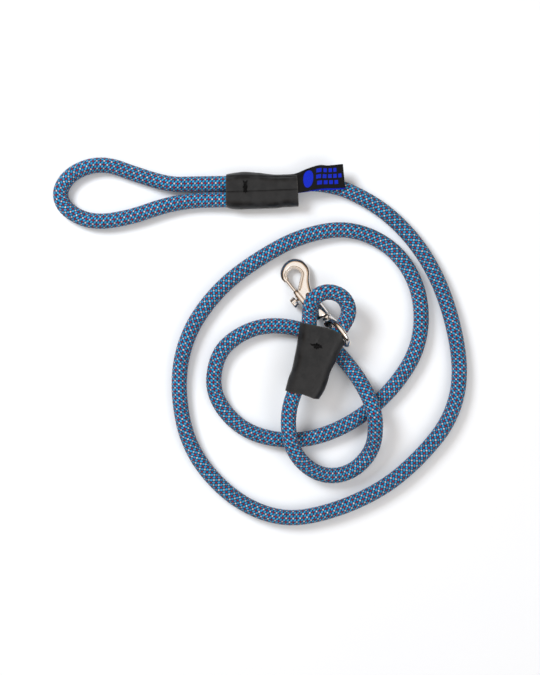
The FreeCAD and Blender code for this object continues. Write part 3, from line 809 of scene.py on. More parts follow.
def make_rubber():
    material, tree, shader = new_material(
        "black_rubber", roughness=0.48, Specular_IOR_Level=0.30
    )
    place = place_of(tree)
    marks = use_group(tree, scuffs, Vector=place, Size=420.0, Amount=0.55)
    rim = add(tree, "ShaderNodeAttribute", attribute_name="edge").outputs["Fac"]
    spots = noise(tree, place, scale=900.0)
    worn_rim = calc(tree, "MULTIPLY", rim, remap(tree, spots, 0.35, 0.6, 0.25, 0.8))
    colour = blend(tree, marks.outputs["Bloom"], RUBBER, RUBBER_BLOOM)
    colour = blend(tree, calc(tree, "MULTIPLY", marks.outputs["Mask"], 0.5), colour,
                   RUBBER_WORN)
    colour = blend(tree, worn_rim, colour, RUBBER_WORN)
    tree.links.new(colour, shader.inputs["Base Color"])
    rough = remap(tree, marks.outputs["Bloom"], 0.0, 1.0, 0.34, 0.60)
    tree.links.new(rough, shader.inputs["Roughness"])
    height = calc(tree, "MULTIPLY_ADD", marks.outputs["Bloom"], 0.5,
                  calc(tree, "MULTIPLY", marks.outputs["Pores"], 0.35))
    bump(tree, shader, height, distance=0.12 * MM, strength=0.55)
    return material


rubber_material = make_rubber()
print("rubber ready")

# %% The two sleeves
# All in mm, in a frame that "turn" and "move" then place on the table.  The sleeve
# runs from "start" to "end"; "upper" and "lower" are its outline, "seam" is the line
# of the overlap's edge, and the mouths are the outline of its two cut ends.  "sag",
# "lap" and "fold" are the dip between the legs, the height of the overlap and the
# place of a long crease.  Each short crease is two points and a depth.
handle_sleeve = make_sleeve({
    "name": "handle_sleeve_rubber", "node": "handle_sleeve", "seed": 3,
    "start": -24.2, "end": 24.0, "height": 14.1, "turn": 0.0, "move": (0, 0, 0),
    "upper": [(-24.2, 11.9), (-19, 12.7), (-12, 13.6), (-7, 13.4), (3, 12.2),
              (14, 11.5), (24, 12.2)],
    "lower": [(-24.2, -10.6), (-22, -11.6), (-15, -11.9), (-5, -11.6), (7.0, -11.2),
              (8.5, -11.3), (13, -10.5), (24, -9.9)],
    "seam": [(-24.2, -0.4), (0.0, 0.3), (24.0, 1.3)],
    "sag": 0.35, "lap": 0.5, "fold": 9.6, "stitch": (-11.2, 1.6),
    "stitch_shape": (1.2, 0.7),
    "creases": [(-24.0, 5.0, -13.5, 4.4, 0.10), (-9.5, 5.6, 6.0, 7.0, 0.08),
                (-12.4, 9.0, -15.6, 12.0, 0.12)],
    "near_mouth": [(-14, -23.2), (-10, -24.0), (-5, -24.3), (12, -24.2)],
    "far_mouth": [(-12, 25.0), (-4, 24.4), (4, 24.2), (10, 23.6), (14, 22.0)],
})
snap_sleeve = make_sleeve({
    "name": "snap_sleeve_rubber", "node": "snap_sleeve", "seed": 11,
    "start": 0.0, "end": 47.2, "height": 13.5, "turn": 73.7,
    "move": (27.1, -137.1, 10.65),
    "upper": [(0.0, 12.0), (9.0, 12.3), (14.5, 11.7), (20, 12.0), (33.0, 13.2),
              (47.4, 15.2)],
    "lower": [(0.0, -11.4), (6.0, -13.2), (12.0, -13.8), (20.0, -13.6), (28.0, -14.8),
              (38.0, -16.0), (47.4, -17.6)],
    "seam": [(0.0, -4.0), (47.4, -5.0)],
    "sag": 0.30, "lap": 0.0, "fold": 0.0, "stitch": (34.0, 0.6),
    "stitch_shape": (0.8, 1.0),
    "creases": [(36.0, 0.4, 47.4, -1.2, 0.22), (33.0, -2.5, 28.0, -7.0, 0.12),
                (32.0, 3.0, 27.5, 8.0, 0.08), (4.0, -6.0, 15.0, -9.5, 0.10)],
    "near_mouth": [(-14, 1.0), (-8, 0.0), (0, 0.6), (6, -0.2), (14, -0.2)],
    "far_mouth": [(-18, 41.6), (-15.5, 43.4), (-12.5, 46.6), (-7, 47.9), (3, 47.4),
                  (15, 46.4)],
})

# %% [markdown]
# ## Thread tacks
# A few passes of waxed black thread go through each sleeve and both legs of rope.
# They pull to a knot in the middle, and the loose ends fan out.  Each strand is a thin
# tube whose points are dropped on to the rubber, with its ends sunk into it.

# %% Thread material
THREAD = (0.0015, 0.0015, 0.0018, 1.0)
THREAD_DUST = (0.007, 0.007, 0.0075, 1.0)


def make_thread():
    material, tree, shader = new_material(
        "black_thread", roughness=0.75, Specular_IOR_Level=0.2
    )
    uv = add(tree, "ShaderNodeUVMap", uv_map="UVMap").outputs[0]
    split = add(tree, "ShaderNodeSeparateXYZ")
    tree.links.new(uv, split.inputs[0])
    twist = calc(tree, "MULTIPLY_ADD", split.outputs[1], 1.6,
                 calc(tree, "MULTIPLY", split.outputs[0], 3.0))
    ply = calc(tree, "COSINE", calc(tree, "MULTIPLY", twist, 2 * math.pi))
    dust = noise(tree, place_of(tree), scale=1500.0)
    colour = blend(tree, remap(tree, dust, 0.3, 0.75), THREAD, THREAD_DUST)
    tree.links.new(colour, shader.inputs["Base Color"])
    bump(tree, shader, ply, distance=0.06 * MM, strength=0.7)
    return material


thread_material = make_thread()
print("thread ready")

# %% Tacks
THREAD_R = 0.46 * MM
THREAD_SIDES = 8
ON_RUBBER = 0.22 * MM       # the height of a strand's middle where it lies flat
ON_STRAND = 0.25 * MM       # how much each strand underneath lifts it
SUNK = 0.9 * MM             # how deep its ends go into the rubber
ABOVE_ALL = 60 * MM         # where the points are dropped from


def surface_tree(piece):
    mesh = piece.data
    return BVHTree.FromPolygons(
        [v.co for v in mesh.vertices], [p.vertices for p in mesh.polygons]
    )


def on_surface(tree, x, y, lift):
    hit = tree.ray_cast((x * MM, y * MM, ABOVE_ALL), (0, 0, -1))[0]
    return [x * MM, y * MM, hit.z + lift]


def smooth_line(points, samples=26):
    """A soft curve through a few points (Catmull-Rom)."""
    pts = np.array(points)
    pts = np.concatenate([[2 * pts[0] - pts[1]], pts, [2 * pts[-1] - pts[-2]]])
    per_run = max(4, samples // (len(points) - 1))
    t = np.linspace(0, 1, per_run, endpoint=False)[:, None]
    line = []
    for a, b, c, d in zip(pts, pts[1:], pts[2:], pts[3:]):
        line.append(0.5 * (2 * b + (c - a) * t + (2 * a - 5 * b + 4 * c - d) * t ** 2
                           + (3 * b - a - 3 * c + d) * t ** 3))
    return np.concatenate([*line, [pts[-2]]])


def join_meshes(name, meshes, material):
    """Several grid meshes as one object."""
    parts = [link_mesh(name, mesh) for mesh in meshes]
    piece = parts[0]
    if len(parts) > 1:
        with bpy.context.temp_override(active_object=piece, selected_objects=parts,
                                       selected_editable_objects=parts):
            bpy.ops.object.join()
    piece.name = name
    piece.data.materials.clear()
    piece.data.materials.append(material)
    return piece


def make_tack(name, node, sleeve, strands):
    tree = surface_tree(sleeve)
    meshes = []
    for strand in strands:
        points = [on_surface(tree, x, y, ON_RUBBER + ON_STRAND * below)
                  for x, y, below in strand]
        points[0][2] -= SUNK
        points[-1][2] -= SUNK
        grid = tube_grid(smooth_line(points), THREAD_R, THREAD_SIDES)
        uv_scale = (1 / THREAD_SIDES, 0.25)
        meshes.append(grid_mesh(name, grid, uv_scale=uv_scale, caps=True))
    piece = join_meshes(name, meshes, thread_material)
    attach(piece, "leash")
    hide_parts(node)
    print(name, len(strands), "strands")


def moved_tack(strands, angle, move):
    """The strands turned by an angle in degrees and moved; all in mm."""
    a = math.radians(angle)
    return [[(x * math.cos(a) - y * math.sin(a) + move[0],
              x * math.sin(a) + y * math.cos(a) + move[1], below)
             for x, y, below in strand] for strand in strands]


HANDLE_TACK = [  # each point: x, y and how many strands it lies on
    [(-12.9, 7.2, 0), (-11.9, 5.6, 1), (-11.2, 3.6, 2), (-11.4, 1.2, 1), (-10.9, -1.9, 0)],
    [(-9.7, 7.4, 0), (-10.6, 5.6, 1), (-11.2, 3.4, 3), (-11.9, 0.9, 1), (-12.2, -1.0, 0)],
    [(-11.1, 6.6, 0), (-11.0, 4.4, 2), (-11.3, 2.2, 3), (-10.6, 0.6, 1), (-10.0, -0.9, 0)],
    [(-12.8, 2.2, 0), (-11.8, 3.2, 3), (-10.8, 3.3, 3), (-9.7, 2.4, 0)],
    [(-12.4, 4.4, 0), (-11.2, 4.0, 3), (-10.4, 2.6, 2), (-11.0, -0.2, 0)],
]
SNAP_TACK = [  # round its own middle
    [(-4.9, 1.3, 0), (-2.6, 0.3, 1), (0.0, 0.0, 3), (2.4, -0.3, 1), (4.7, -0.9, 0)],
    [(-4.2, 0.2, 0), (-2.0, 0.5, 2), (0.3, -0.3, 3), (2.2, 0.5, 1), (3.9, 0.4, 0)],
    [(-0.4, 2.3, 0), (0.1, 0.8, 3), (-0.3, -0.6, 3), (0.6, -2.3, 0)],
    [(-1.6, -1.6, 0), (-0.6, -0.5, 3), (0.8, 0.7, 3), (1.8, 1.7, 0)],
    [(1.7, -1.5, 0), (0.5, -0.4, 3), (-0.8, 0.6, 2), (-2.3, 1.4, 0)],
]
make_tack("handle_tack", "handle_stitch", handle_sleeve, HANDLE_TACK)
make_tack("snap_tack", "snap_stitch", snap_sleeve,
          moved_tack(SNAP_TACK, -8.0, (36.4, -104.3)))

# %% [markdown]
# ## The woven label
# The label is a satin ribbon folded in two.  Both tails are caught in the sleeve's
# mouth, where the ribbon bends round the rope, and the fold is at the free end.  Its
# face is black and its back is blue, and some of the back shows because the two
# halves don't lie quite in line.  It is drawn as one grid that runs out along the
# upper half, round the fold and back along the lower half.

# %% Ribbon shape
# Its two long edges in mm, from under the rubber out to the fold, and how far the
# lower half slips out from under the upper one at each point.
RIBBON_TOP = [(12.0, 10.6), (18.0, 11.4), (23.2, 12.2), (30.0, 14.9), (38.5, 17.4),
              (44.0, 17.2), (49.0, 17.6), (53.9, 18.1)]
RIBBON_BOTTOM = [(13.0, -2.4), (19.0, -2.0), (24.8, -1.3), (30.5, -0.2), (38.0, 1.4),
                 (44.0, 1.9), (49.5, 1.9), (55.4, 2.1)]
RIBBON_SKEW = [0.0, 0.0, 0.0, 0.3, 0.9, 1.2, 1.1, 0.7]
RIBBON_THICK = 0.30 * MM
HALF_GAP = 0.22 * MM
MOUTH_X = 24.0              # the sleeve's mouth
LABEL_LEVEL = 12.45         # the ribbon's height at the mouth
FREE_RUN = 13.0             # how far past the mouth it lies free of the rubber
EDGE_BEND = 3.2             # how far its upper edge bends down round the rope
BEND_FROM = 0.62            # where across the ribbon that bend starts
WAVE = 0.55                 # the free part's long wave
CUP = 0.9                   # how much it is cupped across
LIFT = 1.1                  # how far the fold stands up
LIFT_FROM = 44.0            # where it starts to stand up
FOLD_ROWS = 9
FOLD_OUT = 0.42 * MM        # how far the fold bulges
SAG_AMOUNT = 0.10 * MM      # the upper half's small waves


def eased(value):
    """From 0 to 1 with a soft start and end."""
    value = np.clip(value, 0, 1)
    return value * value * (3 - 2 * value)


def edge_line(points, steps):
    line = smooth_line(points, samples=8 * len(points))
    at = np.linspace(0, len(line) - 1, steps)
    return np.stack([np.interp(at, np.arange(len(line)), line[:, k])
                     for k in range(2)], axis=1)


RIBBON_STEPS = 64
RIBBON_ACROSS = 25
top_edge = edge_line(RIBBON_TOP, RIBBON_STEPS)
bottom_edge = edge_line(RIBBON_BOTTOM, RIBBON_STEPS)
skew = np.interp(np.linspace(0, len(RIBBON_SKEW) - 1, RIBBON_STEPS),
                 range(len(RIBBON_SKEW)), RIBBON_SKEW)


def ribbon_point(i, j, lower=False):
    """A point of the ribbon's middle; i runs out along it, j across from 0 to 1."""
    i, j = np.asarray(i), np.asarray(j)
    at = i * (RIBBON_STEPS - 1)
    ks = np.arange(RIBBON_STEPS)
    top = np.stack([np.interp(at, ks, top_edge[:, k]) for k in range(2)], -1)
    bottom = np.stack([np.interp(at, ks, bottom_edge[:, k]) for k in range(2)], -1)
    if lower:
        bottom = bottom - np.stack([0 * at, np.interp(at, ks, skew)], -1)
        top = top - np.stack([0 * at, 0.5 * np.interp(at, ks, skew)], -1)
    spot = bottom + (top - bottom) * j[..., None]
    x = spot[..., 0]
    free = eased((x - MOUTH_X + 1.0) / FREE_RUN)
    z = LABEL_LEVEL - 0.35 * free
    z = z - (1 - free) * EDGE_BEND * np.clip((j - BEND_FROM) / (1 - BEND_FROM), 0, 1) ** 2
    z = z + free * (WAVE * np.sin((x - MOUTH_X) / 5) + CUP * j ** 2)
    z = z + LIFT * eased((x - LIFT_FROM) / 12) * (1 - 0.5 * j)
    return np.stack([x * MM, spot[..., 1] * MM, z * MM], -1)


def ribbon_grid():
    j = np.linspace(0, 1, RIBBON_ACROSS)
    rows = []
    for i in np.linspace(0, 1, RIBBON_STEPS):
        row = ribbon_point(np.full_like(j, i), j)
        row[:, 2] += HALF_GAP + SAG_AMOUNT * math.sin(3 * i) ** 2
        rows.append(row)
    upper_end = rows[-1]
    lower_end = ribbon_point(np.ones_like(j), j, lower=True)
    lower_end[:, 2] -= HALF_GAP
    for t in np.linspace(0, math.pi, FOLD_ROWS)[1:-1]:
        share = (1 - math.cos(t)) / 2
        row = upper_end * (1 - share) + lower_end * share
        row[:, 0] += FOLD_OUT * math.sin(t)
        rows.append(row)
    for i in np.linspace(1, 0, RIBBON_STEPS):
        row = ribbon_point(np.full_like(j, i), j, lower=True)
        row[:, 2] -= HALF_GAP
        rows.append(row)
    return np.array(rows)


# %% Ribbon materials
# Each pair is one thread colour, painted darker in the weave's grooves as painted shade
# and lighter on the threads' crowns as painted sheen.
RIBBON_BLACK = (0.0030, 0.0028, 0.0035, 1.0)
RIBBON_SHEEN = (0.012, 0.0115, 0.012, 1.0)
WOVEN_BLUE = (0.008, 0.034, 0.66, 1.0)
WOVEN_BLUE_SHADED = (0.004, 0.012, 0.34, 1.0)

satin, satin_in, satin_out = new_group(
    "satin_weave",
    [("Vector", VECTOR, None), ("Threads along", FLOAT, 420.0),
     ("Threads across", FLOAT, 110.0)],
    [("Thread", FLOAT), ("Shade", FLOAT)],
)


def build_satin(tree, start, end):
    """Fine ribs across the ribbon, each broken where a warp thread comes over it."""
    split = add(tree, "ShaderNodeSeparateXYZ")
    tree.links.new(start.outputs["Vector"], split.inputs[0])
    rib = calc(tree, "MULTIPLY", split.outputs[1], start.outputs["Threads along"])
    warp = calc(tree, "MULTIPLY", split.outputs[0], start.outputs["Threads across"])
    step = calc(tree, "MULTIPLY", calc(tree, "FLOOR", rib), 0.4)
    ribs = calc(tree, "COSINE", calc(tree, "MULTIPLY", rib, 2 * math.pi))
    floats = calc(tree, "COSINE", calc(tree, "MULTIPLY", calc(tree, "ADD", warp, step),
                                       2 * math.pi))
    thread = calc(tree, "MULTIPLY_ADD", floats, 0.35, ribs)
    stretch = combine(tree, calc(tree, "MULTIPLY", split.outputs[0], 6.0),
                      calc(tree, "MULTIPLY", split.outputs[1], 60.0))
    shade = noise(tree, stretch, scale=4.0)
    plug(tree, end.inputs["Thread"], calc(tree, "MULTIPLY_ADD", thread, 0.4, 0.5))
    plug(tree, end.inputs["Shade"], shade)


build_satin(satin, satin_in, satin_out)


def make_ribbon_material(name, low, high):
    material, tree, shader = new_material(
        name, roughness=0.42, Specular_IOR_Level=0.12,
    )
    uv = add(tree, "ShaderNodeUVMap", uv_map="UVMap").outputs[0]
    weave = use_group(tree, satin, Vector=uv)
    share = calc(tree, "MULTIPLY", weave.outputs["Thread"],
                 remap(tree, weave.outputs["Shade"], 0.3, 0.7, 0.5, 1.0))
    # painted shade in the grooves between threads, and painted sheen on their crowns in
    # soft streaks
    tree.links.new(blend(tree, share, low, high), shader.inputs["Base Color"])
    rough = remap(tree, weave.outputs["Shade"], 0.3, 0.7, 0.36, 0.52)
    tree.links.new(rough, shader.inputs["Roughness"])
    bump(tree, shader, weave.outputs["Thread"], distance=0.05 * MM, strength=0.6)
    return material


ribbon_face = make_ribbon_material("ribbon_face", RIBBON_BLACK, RIBBON_SHEEN)
ribbon_back = make_ribbon_material("ribbon_back", WOVEN_BLUE_SHADED, WOVEN_BLUE)
print("ribbon materials ready")

# %% Ribbon
grid = ribbon_grid()
ribbon_mesh = grid_mesh(
    "label_ribbon", grid, wrap=False,
    uv_scale=(1.0 / (RIBBON_ACROSS - 1), 1.0 / (len(grid) - 1)),
)
ribbon_mesh.materials.append(ribbon_back)
ribbon_mesh.materials.append(ribbon_face)
ribbon = link_mesh("label_ribbon", ribbon_mesh)
thicken = ribbon.modifiers.new("thickness", "SOLIDIFY")
thicken.thickness = RIBBON_THICK
thicken.offset = 0.0
thicken.material_offset = 1
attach(ribbon, "leash")
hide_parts("label")
print("ribbon:", len(ribbon_mesh.polygons), "faces before it is thickened")

# %% [markdown]
# The picture on the label is a plain woven oval and three rows of bars, in raised
# blue thread.  Each is a small patch that follows the ribbon and swells above it.

# %% Woven pattern
PATCH_RISE = 0.13 * MM
PATCH_SINK = 0.05 * MM      # how deep a patch's rim goes into the ribbon
STITCH_DEPTH = 0.12         # the patch's ribs, as a share of its rise
STITCH_RATE = 900           # how close the ribs are
OVAL = (0.44, 0.53, 0.066, 0.39)        # middle along and across, half sizes
BARS = [                                # place across, then each bar's two ends
    (0.785, [(0.535, 0.610), (0.640, 0.705), (0.735, 0.800), (0.825, 0.885)]),
    (0.530, [(0.535, 0.605), (0.630, 0.700), (0.725, 0.795), (0.820, 0.885),
             (0.910, 0.970)]),
    (0.265, [(0.550, 0.625), (0.650, 0.720), (0.745, 0.815), (0.840, 0.905)]),
]
BAR_HALF = 0.088


def patch(i0, j0, half_i, half_j, power, cells=(22, 16)):
    """A swollen patch of stitches on the ribbon's upper face, round or squarish."""
    u = np.linspace(-1, 1, cells[0])
    v = np.linspace(-1, 1, cells[1])
    u, v = np.meshgrid(u, v, indexing="ij")
    if power < 3:
        u, v = u * np.sqrt(1 - v * v / 2), v * np.sqrt(1 - u * u / 2)
    spot = ribbon_point(i0 + u * half_i, j0 + v * half_j)
    size = np.abs(u) ** power + np.abs(v) ** power
    rise = np.clip(1 - size, 0, 1) ** 0.25
    ribs = STITCH_DEPTH * np.sin(u * half_i * STITCH_RATE)
    spot[..., 2] += HALF_GAP + SAG_AMOUNT * np.sin(3 * (i0 + u * half_i)) ** 2
    spot[..., 2] += RIBBON_THICK / 2 - PATCH_SINK + PATCH_RISE * rise * (1 + ribs)
    return grid_mesh("label_pattern", spot, wrap=False, uv_scale=(0.03, 0.03))


patches = [patch(*OVAL, 2.0, (40, 30))]
for row_at, bars in BARS:
    for bar_start, bar_end in bars:
        patches.append(patch((bar_start + bar_end) / 2, row_at,
                             (bar_end - bar_start) / 2, BAR_HALF, 8.0))
blue_thread = make_ribbon_material("blue_thread", WOVEN_BLUE_SHADED, WOVEN_BLUE)
pattern = join_meshes("label_pattern", patches, blue_thread)
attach(pattern, "leash")
print("label pattern:", len(patches), "patches")

# %% [markdown]
# ## Polished nickel
# The snap is cast zinc, tumbled smooth and plated with bright nickel, which is a little
# warmer than chrome.  The plating follows small waves in the casting, and it has fine
# scratches and a few dull spots.  The same group serves the ring, body, bolt and knob.

# %% Plating group
plating, plating_in, plating_out = new_group(
    "plating",
    [("Vector", VECTOR, None), ("Scratches", FLOAT, 0.5)],
    [("Tarnish", FLOAT), ("Scratch", FLOAT), ("Waves", FLOAT)],
)


def build_plating(tree, start, end):
    vector = start.outputs["Vector"]
    waves = noise(tree, vector, scale=260.0, detail=2.0, roughness=0.4)
    tarnish = noise(tree, vector, scale=700.0, detail=4.0, roughness=0.65)
    lines = []
    for turn, squeeze in ((0.4, 34.0), (1.7, 26.0), (2.6, 40.0)):
        stretch = add(tree, "ShaderNodeMapping")
        tree.links.new(vector, stretch.inputs[0])
        stretch.inputs["Rotation"].default_value = (0.3, 0.2, turn)
        stretch.inputs["Scale"].default_value = (1.0, squeeze, 1.0)
        fine = noise(tree, stretch.outputs[0], scale=240.0, detail=2.0, roughness=0.6)
        lines.append(remap(tree, fine, 0.66, 0.70))
    scratch = calc(tree, "MAXIMUM", calc(tree, "MAXIMUM", *lines[:2]), lines[2])
    scratch = calc(tree, "MULTIPLY", scratch, start.outputs["Scratches"])
    plug(tree, end.inputs["Tarnish"], remap(tree, tarnish, 0.5, 0.8))
    plug(tree, end.inputs["Scratch"], scratch)
    plug(tree, end.inputs["Waves"], waves)


build_plating(plating, plating_in, plating_out)
print("plating group:", len(plating.nodes), "nodes")

# %% Nickel material
NICKEL = (0.93, 0.86, 0.79, 1.0)
NICKEL_DULL = (0.66, 0.57, 0.48, 1.0)


def make_nickel(name, smooth, dull, scratches):
    """Nickel with its roughness where it shines and where it is tarnished."""
    material, tree, shader = new_material(name, roughness=smooth, metallic=1.0)
    finish = use_group(tree, plating, Vector=place_of(tree), Scratches=scratches)
    tarnish = finish.outputs["Tarnish"]
    scratch = finish.outputs["Scratch"]
    colour = blend(tree, calc(tree, "MULTIPLY", tarnish, 0.30), NICKEL, NICKEL_DULL)
    tree.links.new(colour, shader.inputs["Base Color"])
    rough = calc(tree, "MAXIMUM", remap(tree, tarnish, 0.0, 1.0, smooth, dull),
                 calc(tree, "MULTIPLY", scratch, 0.4))
    tree.links.new(rough, shader.inputs["Roughness"])
    height = calc(tree, "MULTIPLY_ADD", scratch, -0.03, finish.outputs["Waves"])
    bump(tree, shader, height, distance=0.25 * MM, strength=0.05)
    return material


nickel = make_nickel("bright_nickel", 0.13, 0.18, 0.10)
bolt_nickel = make_nickel("rubbed_nickel", 0.18, 0.24, 0.15)
spring_steel = mottled(
    "spring_steel", (0.35, 0.35, 0.36, 1), (0.60, 0.60, 0.60, 1), scale=900.0,
    roughness=0.3, metallic=1.0,
)
sealed_end = mottled(
    "melted_end", (0.01, 0.04, 0.09, 1), (0.10, 0.16, 0.24, 1), scale=500.0,
    roughness=0.35,
)


def finish_node(node, material):
    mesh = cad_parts[node].data
    mesh.materials.clear()
    mesh.materials.append(material)


for node in ("swivel_head", "spring_plug"):
    finish_node(node, nickel)
finish_node("bolt", bolt_nickel)
finish_node("bolt_spring", spring_steel)
for node in ("handle_end_seal", "snap_end_seal"):
    finish_node(node, sealed_end)
print("metal finishes ready")

# %% [markdown]
# ## The snap's frame
# The snap has its own frame: the origin is the middle of the swivel eye, x runs along
# the swivel to the bow, and y points to the side that the bolt is on.

# %% Snap frame
EYE_CENTRE = np.array([51.7, -95.1, 13.9])
HEADING = math.radians(128.3)
DROOP = math.radians(11.0)
SNAP_X = np.array([math.cos(HEADING) * math.cos(DROOP),
                   math.sin(HEADING) * math.cos(DROOP), -math.sin(DROOP)])
SNAP_Y = np.array([-math.sin(HEADING), math.cos(HEADING), 0.0])
SNAP_Z = np.cross(SNAP_X, SNAP_Y)
BOLT_Y = 5.7            # the bolt's axis


def from_snap(points):
    """Points in the snap's frame, in mm, taken to the scene in metres."""
    points = np.asarray(points)
    return (EYE_CENTRE + points[..., :1] * SNAP_X + points[..., 1:2] * SNAP_Y
            + points[..., 2:3] * SNAP_Z) * MM


def metal_piece(name, meshes, material, body, replaced):
    piece = join_meshes(name, meshes, material)
    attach(piece, body)
    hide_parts(replaced)
    print(name, len(piece.data.polygons), "faces")


def oval_rings(rows, columns):
    """Ovals across the swivel: each row is along, middle, half width, half height."""
    turn = -np.arange(columns) * 2 * math.pi / columns
    return [np.stack([np.full_like(turn, x), y + wide * np.cos(turn),
                      high * np.sin(turn)], axis=1) for x, y, wide, high in rows]


def rings_mesh(name, rings):
    """A closed mesh from rings in the snap's frame, the first and last ones capped."""
    rings = np.array(rings)
    return grid_mesh(name, from_snap(rings)[:, ::-1],
                     uv_scale=(1 / rings.shape[1], 1 / len(rings)), caps=True)


print("snap frame ready")

# %% [markdown]
# ## The cast body
# The body is one zinc casting.  A flat band leaves the shoulder, goes round the bow and
# ends in a round tip that takes the bolt's nose.  The band has a rolled rim round the
# opening and a broad bevel outside, and it gets wider at the far side of the bow.  It
# is drawn by moving one cross-section along pairs of points on its two edges.

# %% Bow
BAND_EDGES = [  # inner edge, outer edge, from the tip round to the shoulder
    (49.7, 3.6, 49.7, 7.9), (51.4, 3.5, 53.4, 8.0), (52.9, 2.5, 57.7, 5.3),
    (54.0, 0.1, 60.4, -0.4), (53.4, -2.6, 59.5, -6.6), (51.1, -4.4, 54.9, -10.9),
    (48.5, -4.7, 49.4, -11.7), (47.05, -4.2, 45.7, -10.6),
    (45.2, -2.2, 43.5, -9.0), (43.0, 0.5, 41.2, -7.0), (41.0, 2.9, 38.9, -5.5),
    (39.4, 4.3, 36.2, -4.2), (36.5, 4.4, 33.5, -3.4), (32.0, 4.4, 30.0, -3.3),
    (26.5, 4.4, 26.0, -3.2),
]
RIM_SECTION = [  # in from the inner edge, and height: wall, rolled rim, groove, flat
    (0, 0), (0, 0.8), (0, 1.4), (0.08, 1.85), (0.3, 2.2), (0.65, 2.36), (1.0, 2.22),
    (1.25, 1.9), (1.45, 1.66), (1.65, 1.78), (1.9, 2.12), (2.25, 2.30),
]
PLAIN_SECTION = [
    (0, 0), (0, 0.8), (0, 1.4), (0.05, 1.85), (0.2, 2.1), (0.45, 2.25), (0.7, 2.3),
    (1.0, 2.3), (1.3, 2.3), (1.6, 2.3), (1.9, 2.3), (2.25, 2.3),
]
BEVEL_SECTION = [  # in from the outer edge, and height
    (2.6, 2.36), (2.2, 2.26), (1.75, 2.08), (1.25, 1.84), (0.75, 1.56), (0.35, 1.22),
    (0.08, 0.7), (0, 0),
]
FULL_WIDTH = 5.2        # a band narrower than this squeezes its rim and bevel
CROWN = 2.38            # half the band's thickness in its middle
ROD_HALF = 2.1          # half the thickness of the round tip
TIP_KEYS = 1.6          # the tip's round section fades over this many keys
RIM_END, RIM_FADE = 10.2, 1.2   # the key where the rolled rim starts to fade
TIP_ROUND = 0.18        # how much the tip's end face is rounded
NOSE_OFF = 0.07         # the recess is this far off the bolt's axis
NOSE_RECESS = [(51.2, 0.02), (51.2, 1.38), (49.75, 1.38), (49.7, 1.45)]  # x, radius


def band_section(width, rim, roundness):
    """(across, height) over the top from the inner to the outer edge."""
    squeeze = min(1.0, width / FULL_WIDTH)
    inner = (1 - rim) * np.array(PLAIN_SECTION) + rim * np.array(RIM_SECTION)
    inner[:, 0] *= squeeze
    outer = np.array(BEVEL_SECTION)
    outer[:, 0] = width - outer[:, 0] * squeeze
    middle = [[(inner[-1, 0] + outer[0, 0]) / 2, CROWN]]
    cast = np.concatenate([inner, middle, outer])
    turn = np.linspace(0, math.pi, len(cast))
    rod = np.stack([width / 2 * (1 - np.cos(turn)), ROD_HALF * np.sin(turn)], axis=1)
    return (1 - roundness) * cast + roundness * rod


def closed_loop(section):
    """The top half mirrored below, as one loop."""
    below = section[-2:0:-1] * [1, -1]
    return np.concatenate([section, below])


def tip_rings(columns):
    """The recess in the bow's tip that takes the bolt's nose."""
    turn = np.arange(columns) * 2 * math.pi / columns
    middle = BOLT_Y + NOSE_OFF
    return [np.stack([np.full(columns, x), middle - radius * np.cos(turn),
                      radius * np.sin(turn)], axis=1) for x, radius in NOSE_RECESS]


def bow_mesh():
    keys = np.array(BAND_EDGES)
    edges = smooth_line(keys, samples=9 * len(keys))
    rings = []
    for k, (ix, iy, ox, oy) in enumerate(edges):
        station = k / (len(edges) - 1) * (len(keys) - 1)
        inner, outer = np.array([ix, iy]), np.array([ox, oy])
        width = np.linalg.norm(outer - inner)
        roundness = 1 - eased(station / TIP_KEYS)
        rim = 1 - eased((station - RIM_END) / RIM_FADE)
        loop = closed_loop(band_section(width, rim, roundness))
        plan = inner + loop[:, :1] / width * (outer - inner)
        rings.append(np.column_stack([plan, loop[:, 1]]))
    face = rings[0].copy()
    middle = face.mean(axis=0)
    face[:, 1:] = middle[1:] + (face[:, 1:] - middle[1:]) * 0.92
    rings[0][:, 0] += TIP_ROUND
    return rings_mesh("bow", [*tip_rings(len(face)), face, *rings])


# %% Shoulder and bolt housing
SHOULDER = [  # ovals from the swivel head's chamber out, then on to the bow
    (21.3, 0, 0.02, 0.02), (21.3, 0, 2.4, 2.4), (19.35, 0, 2.4, 2.4),
    (19.35, 0, 1.6, 1.6), (14.9, 0, 1.6, 1.6), (14.7, 0, 2.2, 2.2),
    (14.75, 0.4, 3.0, 2.8), (15.1, 1.0, 3.9, 3.3), (15.8, 1.6, 4.6, 3.6),
    (17.0, 1.8, 4.9, 3.9), (19.0, 1.75, 4.95, 4.15), (21.0, 1.6, 4.8, 4.15),
    (22.2, 1.1, 4.3, 4.15), (23.5, 0.6, 3.85, 4.1), (26.0, 0.5, 3.75, 4.05),
    (29.0, 0.5, 3.7, 3.75), (32.0, 0.5, 3.5, 3.1), (34.5, 0.5, 3.1, 2.35),
    (36.5, 0.5, 2.2, 1.5), (38.0, 0.5, 0.02, 0.02),
]
SHOULDER_COLUMNS = 40

# Rings along the bolt's housing, then its radii and the slot for the knob's post.
HOUSING_XS = [22.0, 22.3, 24.0, 26.0, 27.7, 29.8, 31.9, 34.0, 36.1, 38.0, 40.3, 40.6]
HOUSING_R, BORE_R = 2.35, 1.32
HOUSING_ROUND = 0.22            # how much its ends are rounded
SHARP = math.radians(50)        # edges sharper than this stay sharp
SLOT_ROWS = range(4, 8)         # cells from 27.7 to 36.1 along the housing
SLOT_HALF = math.radians(44)
SLOT_COLUMNS = 10
HOUSING_COLUMNS = 48


